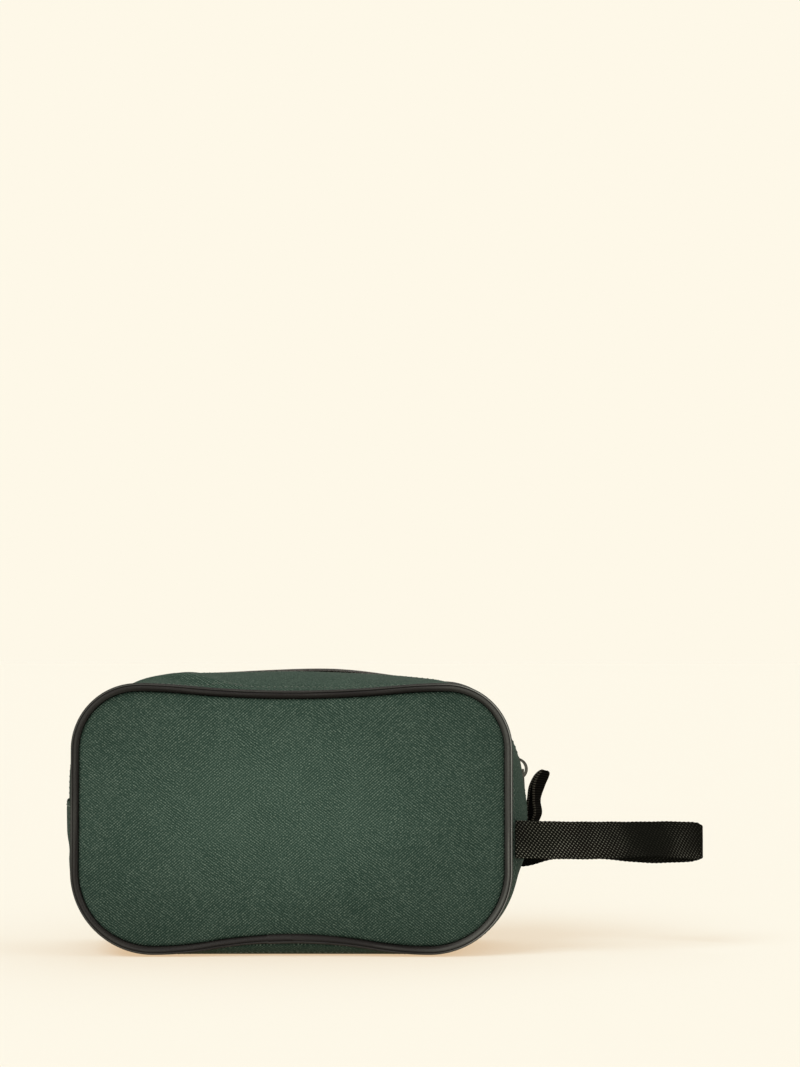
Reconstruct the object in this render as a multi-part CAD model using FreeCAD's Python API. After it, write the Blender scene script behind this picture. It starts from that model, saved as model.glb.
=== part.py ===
import FreeCAD, Part
import math
import os
from FreeCAD import Vector

# Zipped wash bag with a webbing wrist strap, in millimetres.
# X runs along the length of the bag, with the strap at +X. Y is its depth, with the front at -Y. Z is up.
# The origin is the middle of the flat bottom, so the bag stands on z = 0.

# Piped seams: each one lies in a plane, y = -SEAM_Y or y = +SEAM_Y
SEAM_Y = 40.0
SEAM_HALF_LENGTH = 115.0        # centre of the cord on the straight sides
SEAM_PEAK_Z = 142.0             # centre of the cord where the top corners end
SEAM_DIP_Z = 138.0              # centre of the cord at the middle of the top
SEAM_LOW_Z = 3.0                # centre of the cord where the bottom corners end
SEAM_RISE_Z = 9.4               # centre of the cord at the middle of the bottom
SEAM_TOP_CORNER = 33.0
SEAM_BOTTOM_CORNER = 42.0
SEAM_TOP_CREST = 250.0          # radius of the rise beside each top corner
SEAM_BOTTOM_CREST = 170.0

# Middle line of the gusset, in the plane y = 0
CORNER_X = 66.0                 # centre of the top corner arc, which the slider also turns about
CORNER_Z = 88.5
FABRIC_CORNER = 58.0
FABRIC_TOP_Z = 150.4
FABRIC_SIDE = 150.0             # radius of the gusset's bulge on each side
FABRIC_SIDE_START = 8.0         # degrees above level, where corner and side arcs meet
FABRIC_BOTTOM_CORNER = 48.0
SOLE_STEP = 0.1                 # the pressed-flat sole stands this much below the cloth round it
SOLE_HALF_LENGTH = 60.0
SOLE_HALF_DEPTH = 16.0
SWELL = 2.0                     # extra fullness of the gusset under the strap
SWELL_Z = 70.0
SWELL_REACH = 18.0
LEFT_SLACK = 3.0                # the gusset stands out this much less on the left side
LEFT_SLACK_Z = 68.0
LEFT_SLACK_REACH = 34.0
FLAT_SHARE = 0.72               # share of the half depth that is flat at the bottom
FLAT_START = 2.6                # place where the flat share starts to grow, and it is full one place later

# Zip
CHAIN_CORNER = 56.9             # radius of the coil's top face round the corner
CHAIN_TOP_Z = 151.0
CHAIN_SIDE = 400.0
CHAIN_SIDE_START = 2.0
COIL_INNER_Y = 0.6
COIL_OUTER_Y = 3.1
COIL_THICK = 2.2
TAPE_OUTER_Y = 16.0
TAPE_THICK = 0.5
COIL_GAP = 0.1
TAPE_FLAT_Y = 4.6               # the tape is flat this far, then rises to the strip above it
TAPE_RISE = 3.0
STRIP_EDGE_Y = 4.6              # folded edge of the fabric beside the coil

# Fabric and the clear air between layers
FABRIC_THICK = 0.8
LINING_THICK = 0.4
LAYER_GAP = 0.2
GUSSET_EDGE_Y = 37.6
LINING_EDGE_Y = 36.6
LINING_LAP = 2.0                # the lining ends this far below the ends of the zip strips
LAP_LIFT = 1.15                  # the base gusset laps over the ends of the zip strips
LAP_RAMP = 12.0
LAP_MARGIN = 1.0                # full lift starts this far below the strip's end
STRIP_END_LEFT_Z = 66.0
STRIP_END_RIGHT_Z = 53.0
LAP_TOP_LEFT_Z = 81.0
LAP_TOP_RIGHT_Z = 67.0

# Front and back panels
PANEL_EDGE_Y = 39.0
PANEL_CROWN = 6.0
PANEL_CROWN_HALF_X = 120.0
PANEL_CROWN_HALF_Z = 70.0
PANEL_MID_Z = 72.0
PANEL_INSET = 2.45              # from the centre of the cord to the edge of the panel
LINING_INSET = 3.45
PANEL_REACH_Y = 10.0            # the panel lies within this distance of the seam's plane

# Piping
PIPING_RADIUS = 2.15
PIPING_BORE = 1.4
CORD_RADIUS = 1.3
TAIL_ROOT = 1.75                # where the tail leaves the cover, from the centre of the cord
FLANGE_THICK = 0.6
FLANGE_LENGTH = 11.0
BINDING_THICK = 0.5
BINDING_START = 6.0
BINDING_GAP = 0.15

# Mouth: the middle of each zip strip folds out
MOUTH_HALF_LENGTH = 62.0
LIP_ROOT_Y = 35.0
CUT_GAP = 0.3                   # air between a moving piece and a fixed one

# Slider, measured from the corner centre
SLIDER_ANGLE = 8.6              # where it rests, in degrees above level
SLIDER_HALF_ANGLE = 6.3
SLIDER_HALF_WIDTH = 4.2
SLIDER_PLATE = 1.1
SLIDER_BASE = 0.9               # thickness of the lower plate
FLANGE_TRIM = 1.0               # degrees by which the side flanges stop short
BRIDGE_HALF_LENGTH = 5.6
BRIDGE_HEIGHT = 3.7
BRIDGE_BAND = 1.4
BRIDGE_HALF_WIDTH = 1.3
PULL_BAR_RADIUS = 59.05         # the bar of the pull lies under the bridge
PULL_BAR_DROP = 1.0
PULL_THICK = 0.9
PULL_LENGTH = 18.0
PULL_HALF_WIDTH = 2.6
PULL_END_RADIUS = 2.2
PULL_WINDOW_REACH = 0.7         # the window runs this far past the bridge
PULL_LEAN = 6.0                 # degrees in towards the coil

# Wrist strap
STRAP_WIDTH = 20.0
STRAP_THICK = 1.3
STRAP_START_X = 118.6
STRAP_START_Y = 37.8
STRAP_TIP_X = 224.0
STRAP_FOLD_RADIUS = 2.6         # centre line of the fold at the tip
STRAP_BOW = 4.0
STRAP_Z = 61.3
STRAP_DROOP = 2.2               # degrees below level
STRAP_HINGE_X = 119.0
STRAP_CUT_RADIUS = 10.5
STRAP_HUB_HALF = 60.0           # half the length of the round cutter across the bag

# Sewn tab at the end of the zip
TAB_X = 131.0
TAB_Z = 69.0
TAB_LENGTH = 28.5
TAB_HALF_WIDTH = 6.0
TAB_THICK = 1.0
TAB_HALF_GAP = 1.4              # half the width of the loop at its fullest
TAB_LEAN = 14.0                 # degrees away from the bag
TAB_TWIST = 10.0
TAB_FULLEST = 0.7               # share of the length where the loop is widest
TAB_FOLD_GAP = 0.15             # half the air between the two plies at the base

# A place is a number that marks matching points of the paths: 0 at the top middle, 1 at the end of the mouth,
# 2, 3 and 4 at the knots below, down the right side
KNOT_SIDE_Z = 75.0
KNOT_LOW_Z = 50.0
KNOT_BOTTOM_X = 73.0
BOTTOM_MIDDLE = 5.0
FULL_LOOP = 10.0                # places past the bottom middle run back up the left side

WELD = 0.1                      # joined pieces of one solid run this far into each other
TINY = 0.01

UP = Vector(0, 0, 1)
ALONG_Y = Vector(0, 1, 0)


class Turn:
    """An arc in the XZ plane. Outward is away from its centre, or towards it when it is hollow."""

    def __init__(self, centre, radius, start, end, hollow=False):
        self.centre = centre
        self.radius = radius
        self.start = start
        self.end = end
        self.side = -1 if hollow else 1
        self.length = radius * math.radians(abs(end - start))

    def at(self, length):
        angle = math.radians(self.start + (self.end - self.start) * length / self.length)
        dx, dz = math.cos(angle), math.sin(angle)
        x = self.centre[0] + self.radius * dx
        z = self.centre[1] + self.radius * dz
        return x, z, self.side * dx, self.side * dz


class Run:
    """A straight run in the XZ plane. Outward is to the left of the way it goes."""

    def __init__(self, start, end):
        self.start = start
        self.length = math.dist(start, end)
        self.dx = (end[0] - start[0]) / self.length
        self.dz = (end[1] - start[1]) / self.length

    def at(self, length):
        x = self.start[0] + self.dx * length
        z = self.start[1] + self.dz * length
        return x, z, -self.dz, self.dx


class Path:
    """Tangent arcs and runs from the top middle, down the right side, to the bottom middle."""

    def __init__(self, pieces):
        self.pieces = pieces
        self.length = sum(piece.length for piece in pieces)

    def at(self, length):
        for piece in self.pieces[:-1]:
            if length <= piece.length:
                return piece.at(length)
            length -= piece.length
        return self.pieces[-1].at(length)

    def where(self, axis, value, after=0.0):
        """Length at which x (axis 0) grows past a value, or z (axis 1) falls past it."""
        low, high = after, self.length
        for _ in range(50):
            middle = (low + high) / 2
            here = self.at(middle)
            passed = here[0] >= value if axis == 0 else here[1] <= value
            low, high = (low, middle) if passed else (middle, high)
        return low


def crest_and_hollow(span, dip, crest):
    """Angle and hollow radius of two tangent arcs that fall by dip over span."""
    angle = 2 * math.atan(dip / span)
    return math.degrees(angle), span / math.sin(angle) - crest


def seam_path():
    top_x = SEAM_HALF_LENGTH - SEAM_TOP_CORNER
    low_x = SEAM_HALF_LENGTH - SEAM_BOTTOM_CORNER
    top_z = SEAM_PEAK_Z - SEAM_TOP_CORNER
    low_z = SEAM_LOW_Z + SEAM_BOTTOM_CORNER
    top_angle, top_hollow = crest_and_hollow(top_x, SEAM_PEAK_Z - SEAM_DIP_Z, SEAM_TOP_CREST)
    low_angle, low_hollow = crest_and_hollow(low_x, SEAM_RISE_Z - SEAM_LOW_Z, SEAM_BOTTOM_CREST)
    return Path([
        Turn((0, SEAM_DIP_Z + top_hollow), top_hollow, -90, -90 + top_angle, hollow=True),
        Turn((top_x, SEAM_PEAK_Z - SEAM_TOP_CREST), SEAM_TOP_CREST, 90 + top_angle, 90),
        Turn((top_x, top_z), SEAM_TOP_CORNER, 90, 0),
        Run((SEAM_HALF_LENGTH, top_z), (SEAM_HALF_LENGTH, low_z)),
        Turn((low_x, low_z), SEAM_BOTTOM_CORNER, 0, -90),
        Turn((low_x, SEAM_LOW_Z + SEAM_BOTTOM_CREST), SEAM_BOTTOM_CREST, -90, -90 - low_angle),
        Turn((0, SEAM_RISE_Z - low_hollow), low_hollow, 90 - low_angle, 90, hollow=True),
    ])


def crown_turn(corner_radius, top_z):
    """Arc over the top that is tangent to the corner arc and passes through (0, top_z)."""
    rise = top_z - CORNER_Z
    radius = (CORNER_X ** 2 + rise ** 2 - corner_radius ** 2) / (2 * (rise - corner_radius))
    meet = math.degrees(math.atan2(CORNER_Z - top_z + radius, CORNER_X))
    return Turn((0, top_z - radius), radius, 90, meet), meet


def side_centre(corner_radius, side_radius, angle):
    """Centre of the side arc that leaves the corner arc at an angle."""
    reach = side_radius - corner_radius
    x = CORNER_X - reach * math.cos(math.radians(angle))
    z = CORNER_Z - reach * math.sin(math.radians(angle))
    return x, z


def fabric_path():
    crown, meet = crown_turn(FABRIC_CORNER, FABRIC_TOP_Z)
    side = side_centre(FABRIC_CORNER, FABRIC_SIDE, FABRIC_SIDE_START)
    low_z = FABRIC_BOTTOM_CORNER + SOLE_STEP
    reach = FABRIC_SIDE - FABRIC_BOTTOM_CORNER
    leave = -math.degrees(math.asin((side[1] - low_z) / reach))
    low_x = side[0] + reach * math.cos(math.radians(leave))
    return Path([
        crown,
        Turn((CORNER_X, CORNER_Z), FABRIC_CORNER, meet, FABRIC_SIDE_START),
        Turn(side, FABRIC_SIDE, FABRIC_SIDE_START, leave),
        Turn((low_x, low_z), FABRIC_BOTTOM_CORNER, leave, -90),
        Run((low_x, SOLE_STEP), (0, SOLE_STEP)),
    ])


def chain_path():
    crown, meet = crown_turn(CHAIN_CORNER, CHAIN_TOP_Z)
    side = side_centre(CHAIN_CORNER, CHAIN_SIDE, CHAIN_SIDE_START)
    end = math.degrees(math.asin((KNOT_LOW_Z - side[1]) / CHAIN_SIDE))
    return Path([
        crown,
        Turn((CORNER_X, CORNER_Z), CHAIN_CORNER, meet, CHAIN_SIDE_START),
        Turn(side, CHAIN_SIDE, CHAIN_SIDE_START, end),
    ])


SEAM = seam_path()
FABRIC = fabric_path()
CHAIN = chain_path()


def knots(path):
    """Lengths along a path at the matching places."""
    side = path.where(1, KNOT_SIDE_Z)
    lengths = [0.0, path.where(0, MOUTH_HALF_LENGTH), side, path.where(1, KNOT_LOW_Z)]
    if path is not CHAIN:
        lengths.append(path.length - KNOT_BOTTOM_X)
        lengths.append(path.length)
    return lengths


KNOTS = {path: knots(path) for path in (SEAM, FABRIC, CHAIN)}


def follow(path, place):
    """Point and outward normal of a path at a place, mirrored on the left side."""
    place %= FULL_LOOP
    side = 1
    if place > BOTTOM_MIDDLE:
        place = FULL_LOOP - place
        side = -1
    marks = KNOTS[path]
    index = min(int(place), len(marks) - 2)
    length = marks[index] + (marks[index + 1] - marks[index]) * (place - index)
    x, z, nx, nz = path.at(length)
    if side < 0 and path is not SEAM:
        x -= LEFT_SLACK * math.exp(-((z - LEFT_SLACK_Z) / LEFT_SLACK_REACH) ** 2)
    return side * x, z, side * nx, nz


def side_place(z):
    """Place on the right side where the gusset's middle line is at height z."""
    low, high = 1.0, 4.0
    for _ in range(50):
        middle = (low + high) / 2
        low, high = (low, middle) if follow(FABRIC, middle)[1] <= z else (middle, high)
    return low


def smooth(value):
    value = min(max(value, 0.0), 1.0)
    return value * value * (3 - 2 * value)


def flatness(place):
    """Share of the half depth over which the gusset is flat: none on top, most at the bottom."""
    place %= FULL_LOOP
    return FLAT_SHARE * smooth(min(place, FULL_LOOP - place) - FLAT_START)


def fabric_point(place, y, lift):
    """Point of the gusset, lifted outward from its outer face."""
    seam_x, seam_z, seam_nx, seam_nz = follow(SEAM, place)
    mid_x, mid_z, mid_nx, mid_nz = follow(FABRIC, place)
    flat = flatness(place)
    edge = max(0.0, abs(y) / SEAM_Y - flat) / (1 - flat)
    fullness = 1 - edge ** 2
    nx = seam_nx + (mid_nx - seam_nx) * fullness
    nz = seam_nz + (mid_nz - seam_nz) * fullness
    size = math.hypot(nx, nz)
    x = seam_x + (mid_x - seam_x) * fullness
    z = seam_z + (mid_z - seam_z) * fullness
    if x > CORNER_X:
        lift += SWELL * fullness * math.exp(-((z - SWELL_Z) / SWELL_REACH) ** 2)
    return Vector(x + nx / size * lift, y, z + nz / size * lift)


def chain_point(place, y, lift):
    x, z, nx, nz = follow(CHAIN, place)
    return Vector(x + nx * lift, y, z + nz * lift)


def tape_point(place, y, depth):
    """Point of the zip tape: flat under the coil, then close under the fabric strip."""
    low = chain_point(place, y, -COIL_THICK - COIL_GAP - depth)
    high = fabric_point(place, y, -FABRIC_THICK - LAYER_GAP - depth)
    share = smooth((abs(y) - TAPE_FLAT_Y) / TAPE_RISE)
    return low + (high - low) * share


def spread(start, end, count):
    return [start + (end - start) * i / (count - 1) for i in range(count)]


def knot_line(poles):
    """Even knots, with the ends held, for a cubic line through a number of poles."""
    inner = poles - 4
    return list(range(inner + 2)), [4] + [1] * inner + [4]


def smooth_surface(grid):
    """Cubic surface that follows a close grid of points without overshooting it."""
    u_knots, u_mults = knot_line(len(grid))
    v_knots, v_mults = knot_line(len(grid[0]))
    surface = Part.BSplineSurface()
    surface.buildFromPolesMultsKnots(grid, u_mults, v_mults, u_knots, v_knots, False, False, 3, 3)
    return surface


def sheet(outer, inner, places, depths):
    """Closed solid between two surfaces, each given by a function of place and y."""
    surfaces = [smooth_surface([[point(p, y) for y in depths] for p in places]) for point in (outer, inner)]
    faces = [surface.toShape() for surface in surfaces]
    u0, u1, v0, v1 = surfaces[0].bounds()
    for u in (u0, u1):
        edges = [surface.uIso(u).toShape() for surface in surfaces]
        faces.append(Part.makeRuledSurface(edges[0], edges[1], 1))
    for v in (v0, v1):
        edges = [surface.vIso(v).toShape() for surface in surfaces]
        faces.append(Part.makeRuledSurface(edges[0], edges[1], 1))
    shell = Part.makeShell(faces)
    shell.sewShape()
    solid = Part.makeSolid(shell)
    if solid.Volume < 0:
        solid.reverse()
    return solid


def block(x0, x1, y0, y1, z0, z1):
    return Part.makeBox(x1 - x0, y1 - y0, z1 - z0, Vector(x0, y0, z0))


def mirrored_y(shape):
    return shape.mirror(Vector(0, 0, 0), ALONG_Y)


# ---- piping and panels ----

def outline(offset, y):
    """Closed line of the seam, moved outward by an offset."""
    edges = []
    for piece in SEAM.pieces:
        for side in (1, -1):
            marks = []
            for length in (0, piece.length / 2, piece.length):
                x, z, nx, nz = piece.at(length)
                marks.append(Vector(side * (x + nx * offset), y, z + nz * offset))
            if isinstance(piece, Run):
                edges.append(Part.LineSegment(marks[0], marks[2]).toShape())
            else:
                edges.append(Part.Arc(*marks).toShape())
    return Part.Wire(Part.__sortEdges__(edges))


def ring(profile):
    """Carry a face round the seam. The face is given at the top middle, as (outward, y) about the cord."""
    half = None
    for piece in SEAM.pieces:
        x, z, nx, nz = piece.at(0)
        turn = math.degrees(math.atan2(-nx, nz))
        face = profile.copy()
        face.rotate(Vector(0, 0, 0), ALONG_Y, -turn)
        face.translate(Vector(x, 0, z))
        if isinstance(piece, Run):
            part = face.extrude(Vector(piece.dx * piece.length, 0, piece.dz * piece.length))
        else:
            centre = Vector(piece.centre[0], 0, piece.centre[1])
            part = face.revolve(centre, ALONG_Y, piece.start - piece.end)
        half = part if half is None else half.fuse(part)
    return half.fuse(half.mirror(Vector(0, 0, 0), Vector(1, 0, 0))).removeSplitter()


def polygon_face(points):
    """Flat face in the plane x = 0 from (outward, y) points."""
    corners = [Vector(0, y, outward) for outward, y in points]
    return Part.Face(Part.makePolygon(corners + corners[:1]))


def disc(radius, y):
    return Part.Face(Part.Wire(Part.makeCircle(radius, Vector(0, y, 0), Vector(1, 0, 0))))


def slanted(along, across, y):
    """A place beside the cord's tail, which runs inward and back at 45 degrees."""
    half = math.sqrt(0.5)
    return -half * along + half * across, y + half * along + half * across


def piping_cover():
    """Vinyl cover: round the cord, with both plies running back into the seam as one tail."""
    tail = polygon_face([
        slanted(TAIL_ROOT, -FLANGE_THICK / 2, -SEAM_Y),
        slanted(FLANGE_LENGTH, -FLANGE_THICK / 2, -SEAM_Y),
        slanted(FLANGE_LENGTH, FLANGE_THICK / 2, -SEAM_Y),
        slanted(TAIL_ROOT, FLANGE_THICK / 2, -SEAM_Y),
    ])
    section = disc(PIPING_RADIUS, -SEAM_Y).cut(disc(PIPING_BORE, -SEAM_Y)).fuse(tail)
    return ring(section.removeSplitter().Faces[0])


def piping_core():
    return ring(disc(CORD_RADIUS, -SEAM_Y))


def seam_binding():
    """Folded tape that closes the raw edge of the seam inside the bag."""
    inner = FLANGE_THICK / 2 + BINDING_GAP
    outer = inner + BINDING_THICK
    end = FLANGE_LENGTH + BINDING_GAP
    marks = [
        (BINDING_START, -outer), (end + BINDING_THICK, -outer), (end + BINDING_THICK, outer),
        (BINDING_START, outer), (BINDING_START, inner), (end, inner), (end, -inner),
        (BINDING_START, -inner),
    ]
    return ring(polygon_face([slanted(along, across, -SEAM_Y) for along, across in marks]))


def crown(x, z):
    """How far the panel stands out from its edge."""
    across = 1 - min(1.0, abs(x) / PANEL_CROWN_HALF_X) ** 3
    upward = 1 - min(1.0, abs(z - PANEL_MID_Z) / PANEL_CROWN_HALF_Z) ** 3
    return PANEL_CROWN * across * upward


def panel(depth, thick, inset):
    """Crowned layer inside the front seam, its outer face a depth behind the panel's outer face."""
    half_x, half_z = PANEL_CROWN_HALF_X, PANEL_CROWN_HALF_Z + 1

    def face(back):
        return lambda x, z: Vector(x, -PANEL_EDGE_Y - crown(x, z) + back, z)

    columns = spread(-half_x, half_x, 33)
    rows = spread(PANEL_MID_Z - half_z, PANEL_MID_Z + half_z, 23)
    slab = sheet(face(depth), face(depth + thick), columns, rows)
    prism = Part.Face(outline(-inset, -SEAM_Y - PANEL_REACH_Y)).extrude(Vector(0, 2 * PANEL_REACH_Y, 0))
    return slab.common(prism).Solids[0]


# ---- gusset, zip strips and zip ----

LEFT_END = FULL_LOOP - side_place(STRIP_END_LEFT_Z)
RIGHT_END = side_place(STRIP_END_RIGHT_Z)
LAP_LEFT = FULL_LOOP - side_place(LAP_TOP_LEFT_Z)
LAP_RIGHT = side_place(LAP_TOP_RIGHT_Z)


def lap_lift(place):
    """The base gusset stands out by one layer where it covers the zip strips."""
    height = follow(FABRIC, place)[1]
    end = STRIP_END_RIGHT_Z if place < BOTTOM_MIDDLE else STRIP_END_LEFT_Z
    return LAP_LIFT * smooth((height - end + LAP_MARGIN + LAP_RAMP) / LAP_RAMP)


def base_gusset():
    def outer(place, y):
        return fabric_point(place, y, lap_lift(place))

    def inner(place, y):
        return fabric_point(place, y, lap_lift(place) - FABRIC_THICK)

    depths = spread(-GUSSET_EDGE_Y, GUSSET_EDGE_Y, 21)
    solid = sheet(outer, inner, spread(LAP_RIGHT, LAP_LEFT, 121), depths)
    half_x, half_y = SOLE_HALF_LENGTH, SOLE_HALF_DEPTH
    return solid.fuse(block(-half_x, half_x, -half_y, half_y, 0, SOLE_STEP + FABRIC_THICK / 2)).Solids[0]


def gusset_lining():
    top = -FABRIC_THICK - LAYER_GAP

    def outer(place, y):
        return fabric_point(place, y, top)

    def inner(place, y):
        return fabric_point(place, y, top - LINING_THICK)

    start = side_place(STRIP_END_RIGHT_Z - LINING_LAP)
    end = FULL_LOOP - side_place(STRIP_END_LEFT_Z - LINING_LAP)
    return sheet(outer, inner, spread(start, end, 81), spread(-LINING_EDGE_Y, LINING_EDGE_Y, 21))


def mouth_places():
    """Matching places of the whole zip: the left part, the lip and the right part."""
    half = CUT_GAP / 2
    inside = 1 - half / MOUTH_HALF_LENGTH
    outside = 1 + half / (KNOTS[SEAM][2] - KNOTS[SEAM][1])
    left = spread(LEFT_END - FULL_LOOP, -outside, 41)
    right = spread(outside, RIGHT_END, 45)
    return left, spread(-inside, inside, 25), right


def zip_layer(point, thick, depths):
    """One layer of the zip's upper edge as three solids: left part, lip and right part."""
    def outer(place, y):
        return point(place, y, 0)

    def inner(place, y):
        return point(place, y, thick)

    return [sheet(outer, inner, places, depths) for places in mouth_places()]


def strip_point(place, y, depth):
    return fabric_point(place, y, -depth)


def zip_strip():
    """Fabric between the front seam and the coil: left part, lip, right part, and the lip's sewn edge."""
    depths = spread(-GUSSET_EDGE_Y, -STRIP_EDGE_Y, 13)
    left, _, right = zip_layer(strip_point, FABRIC_THICK, depths)
    lip_depths = spread(-LIP_ROOT_Y + CUT_GAP / 2, -STRIP_EDGE_Y, 12)
    lip = zip_layer(strip_point, FABRIC_THICK, lip_depths)[1]
    edge_depths = spread(-GUSSET_EDGE_Y, -LIP_ROOT_Y - CUT_GAP / 2, 4)
    edge = zip_layer(strip_point, FABRIC_THICK, edge_depths)[1]
    return left, lip, right, edge


def zip_tape():
    return zip_layer(tape_point, TAPE_THICK, spread(-TAPE_OUTER_Y, -COIL_INNER_Y, 15))


def coil_point(place, y, depth):
    return chain_point(place, y, -depth)


def zip_coil():
    """One row of coil as a plain bar along the tape."""
    return zip_layer(coil_point, COIL_THICK, spread(-COIL_OUTER_Y, -COIL_INNER_Y, 4))


# ---- slider and pull, built level with the corner centre and turned to where they rest ----

def sector(inner, outer, half_width_from, half_width_to, start, end):
    """Piece of a ring about the corner centre, between two half widths on both sides."""
    parts = []
    for side in ((1, -1) if half_width_from > 0 else (0,)):
        y0 = -half_width_to if side == 0 else side * half_width_from
        y1 = half_width_to if side == 0 else side * half_width_to
        marks = [(inner, y0), (outer, y0), (outer, y1), (inner, y1)]
        corners = [Vector(CORNER_X + r, y, CORNER_Z) for r, y in marks]
        face = Part.Face(Part.makePolygon(corners + corners[:1]))
        centre = Vector(CORNER_X, 0, CORNER_Z)
        face.rotate(centre, ALONG_Y, -start)
        parts.append(face.revolve(centre, ALONG_Y, start - end))
    return parts[0] if len(parts) == 1 else parts[0].fuse(parts[1])


def at_slider(shape):
    shape.rotate(Vector(CORNER_X, 0, CORNER_Z), ALONG_Y, -SLIDER_ANGLE)
    return shape


def arch(radius_low, height, half_length, half_width):
    """Solid under an arc that rises from the slider's top plate."""
    base_x = CORNER_X + radius_low
    marks = [
        Vector(base_x, 0, CORNER_Z - half_length),
        Vector(base_x + height, 0, CORNER_Z),
        Vector(base_x, 0, CORNER_Z + half_length),
    ]
    edges = [Part.Arc(*marks).toShape(), Part.LineSegment(marks[2], marks[0]).toShape()]
    face = Part.Face(Part.Wire(edges))
    face.translate(Vector(0, -half_width, 0))
    return face.extrude(Vector(0, 2 * half_width, 0))


def slider_body():
    """Two plates, side flanges, the wedge between them and the bridge over the top plate."""
    half = SLIDER_HALF_ANGLE
    plate_low = CHAIN_CORNER + CUT_GAP
    plate_top = plate_low + SLIDER_PLATE
    tape_low = CHAIN_CORNER - COIL_THICK - COIL_GAP - TAPE_THICK
    base_top = tape_low - CUT_GAP
    base_low = base_top - SLIDER_BASE
    flange_low = tape_low + TAPE_THICK + CUT_GAP
    flange_in = COIL_OUTER_Y + CUT_GAP
    solid = sector(plate_low, plate_top, 0, SLIDER_HALF_WIDTH, -half, half)
    solid = solid.fuse(sector(base_low, base_top, 0, SLIDER_HALF_WIDTH, -half, half))
    flange_end = half - FLANGE_TRIM
    solid = solid.fuse(sector(flange_low, plate_low + WELD, flange_in, SLIDER_HALF_WIDTH, -half, flange_end))
    wedge = COIL_INNER_Y - CUT_GAP
    solid = solid.fuse(sector(base_top - WELD, plate_low + WELD, 0, wedge, -half, -half / 2))
    outer = arch(plate_top - 2 * WELD, BRIDGE_HEIGHT, BRIDGE_HALF_LENGTH, BRIDGE_HALF_WIDTH)
    inner_length = BRIDGE_HALF_LENGTH - BRIDGE_BAND
    inner = arch(plate_top - 4 * WELD, BRIDGE_HEIGHT - BRIDGE_BAND, inner_length, 2 * BRIDGE_HALF_WIDTH)
    bridge = outer.cut(inner)
    return at_slider(solid.fuse(bridge).removeSplitter())


def slider_pull():
    """Flat tab with a window at its top. Its bar lies under the bridge, and it hangs down the zip."""
    x0 = CORNER_X + PULL_BAR_RADIUS - PULL_THICK / 2
    top = CORNER_Z - PULL_BAR_DROP + PULL_THICK / 2
    tab = block(x0, x0 + PULL_THICK, -PULL_HALF_WIDTH, PULL_HALF_WIDTH, top - PULL_LENGTH, top)
    window_half = BRIDGE_HALF_WIDTH + CUT_GAP
    window_top = top - PULL_THICK
    window_low = CORNER_Z - BRIDGE_HALF_LENGTH - PULL_WINDOW_REACH
    window = block(x0 - PULL_THICK, x0 + 2 * PULL_THICK, -window_half, window_half, window_low, window_top)
    tab = tab.cut(window)
    corners = [edge for edge in tab.Edges if is_tab_corner(edge, top - PULL_LENGTH)]
    tab = tab.makeFillet(PULL_END_RADIUS, corners)
    pivot = Vector(CORNER_X + PULL_BAR_RADIUS, 0, CORNER_Z - PULL_BAR_DROP)
    tab.rotate(pivot, ALONG_Y, PULL_LEAN)
    return at_slider(tab)


def is_tab_corner(edge, low):
    """True for the two short edges through the pull's thickness at its free end."""
    box = edge.BoundBox
    return box.ZMax < low + TINY and box.YLength < TINY


# ---- wrist strap and end tab ----

def strap_outline(offset):
    """Plan of the strap from its front root to its rear root, moved outward by an offset."""
    start = Vector(STRAP_START_X, -STRAP_START_Y, 0)
    end = Vector(STRAP_TIP_X - STRAP_FOLD_RADIUS - STRAP_THICK / 2, -STRAP_FOLD_RADIUS, 0)
    chord = end - start
    left = Vector(chord.y, -chord.x, 0).normalize()
    radius = (chord.Length ** 2 / 4 + STRAP_BOW ** 2) / (2 * STRAP_BOW)
    centre = (start + end) * 0.5 - left * (radius - STRAP_BOW)
    marks = []
    for point in (start, (start + end) * 0.5 + left * STRAP_BOW, end):
        away = (point - centre).normalize()
        marks.append(point + away * offset)
    tip = Vector(STRAP_TIP_X - STRAP_THICK / 2 + offset, 0, 0)
    rear = [Vector(mark.x, -mark.y, 0) for mark in marks]
    return [Part.Arc(*marks), Part.Arc(marks[2], tip, rear[2]), Part.Arc(rear[2], rear[1], rear[0])]


def strap():
    """The whole strap as one loop of webbing, drooping a little to its tip."""
    outer = [curve.toShape() for curve in strap_outline(STRAP_THICK / 2)]
    inner = [curve.toShape() for curve in strap_outline(-STRAP_THICK / 2)]
    ends = []
    for index, vertex in ((0, 0), (2, 1)):
        a = outer[index].Vertexes[vertex].Point
        b = inner[index].Vertexes[vertex].Point
        ends.append(Part.LineSegment(a, b).toShape())
    wire = Part.Wire(Part.__sortEdges__(outer + inner + ends))
    loop = Part.Face(wire).extrude(UP * STRAP_WIDTH)
    loop.translate(UP * (STRAP_Z - STRAP_WIDTH / 2))
    loop.rotate(Vector(STRAP_HINGE_X, 0, STRAP_Z), ALONG_Y, STRAP_DROOP)
    return loop


def strap_hub(radius):
    centre = Vector(STRAP_HINGE_X, -STRAP_HUB_HALF, STRAP_Z)
    return Part.makeCylinder(radius, 2 * STRAP_HUB_HALF, centre, ALONG_Y)


def strap_roots():
    """The sewn ends of the strap, front then rear."""
    ends = strap().common(strap_hub(STRAP_CUT_RADIUS)).Solids
    ends.sort(key=lambda part: part.CenterOfMass.y)
    return ends


def strap_loop():
    return strap().cut(strap_hub(STRAP_CUT_RADIUS + CUT_GAP)).Solids[0]


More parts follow.
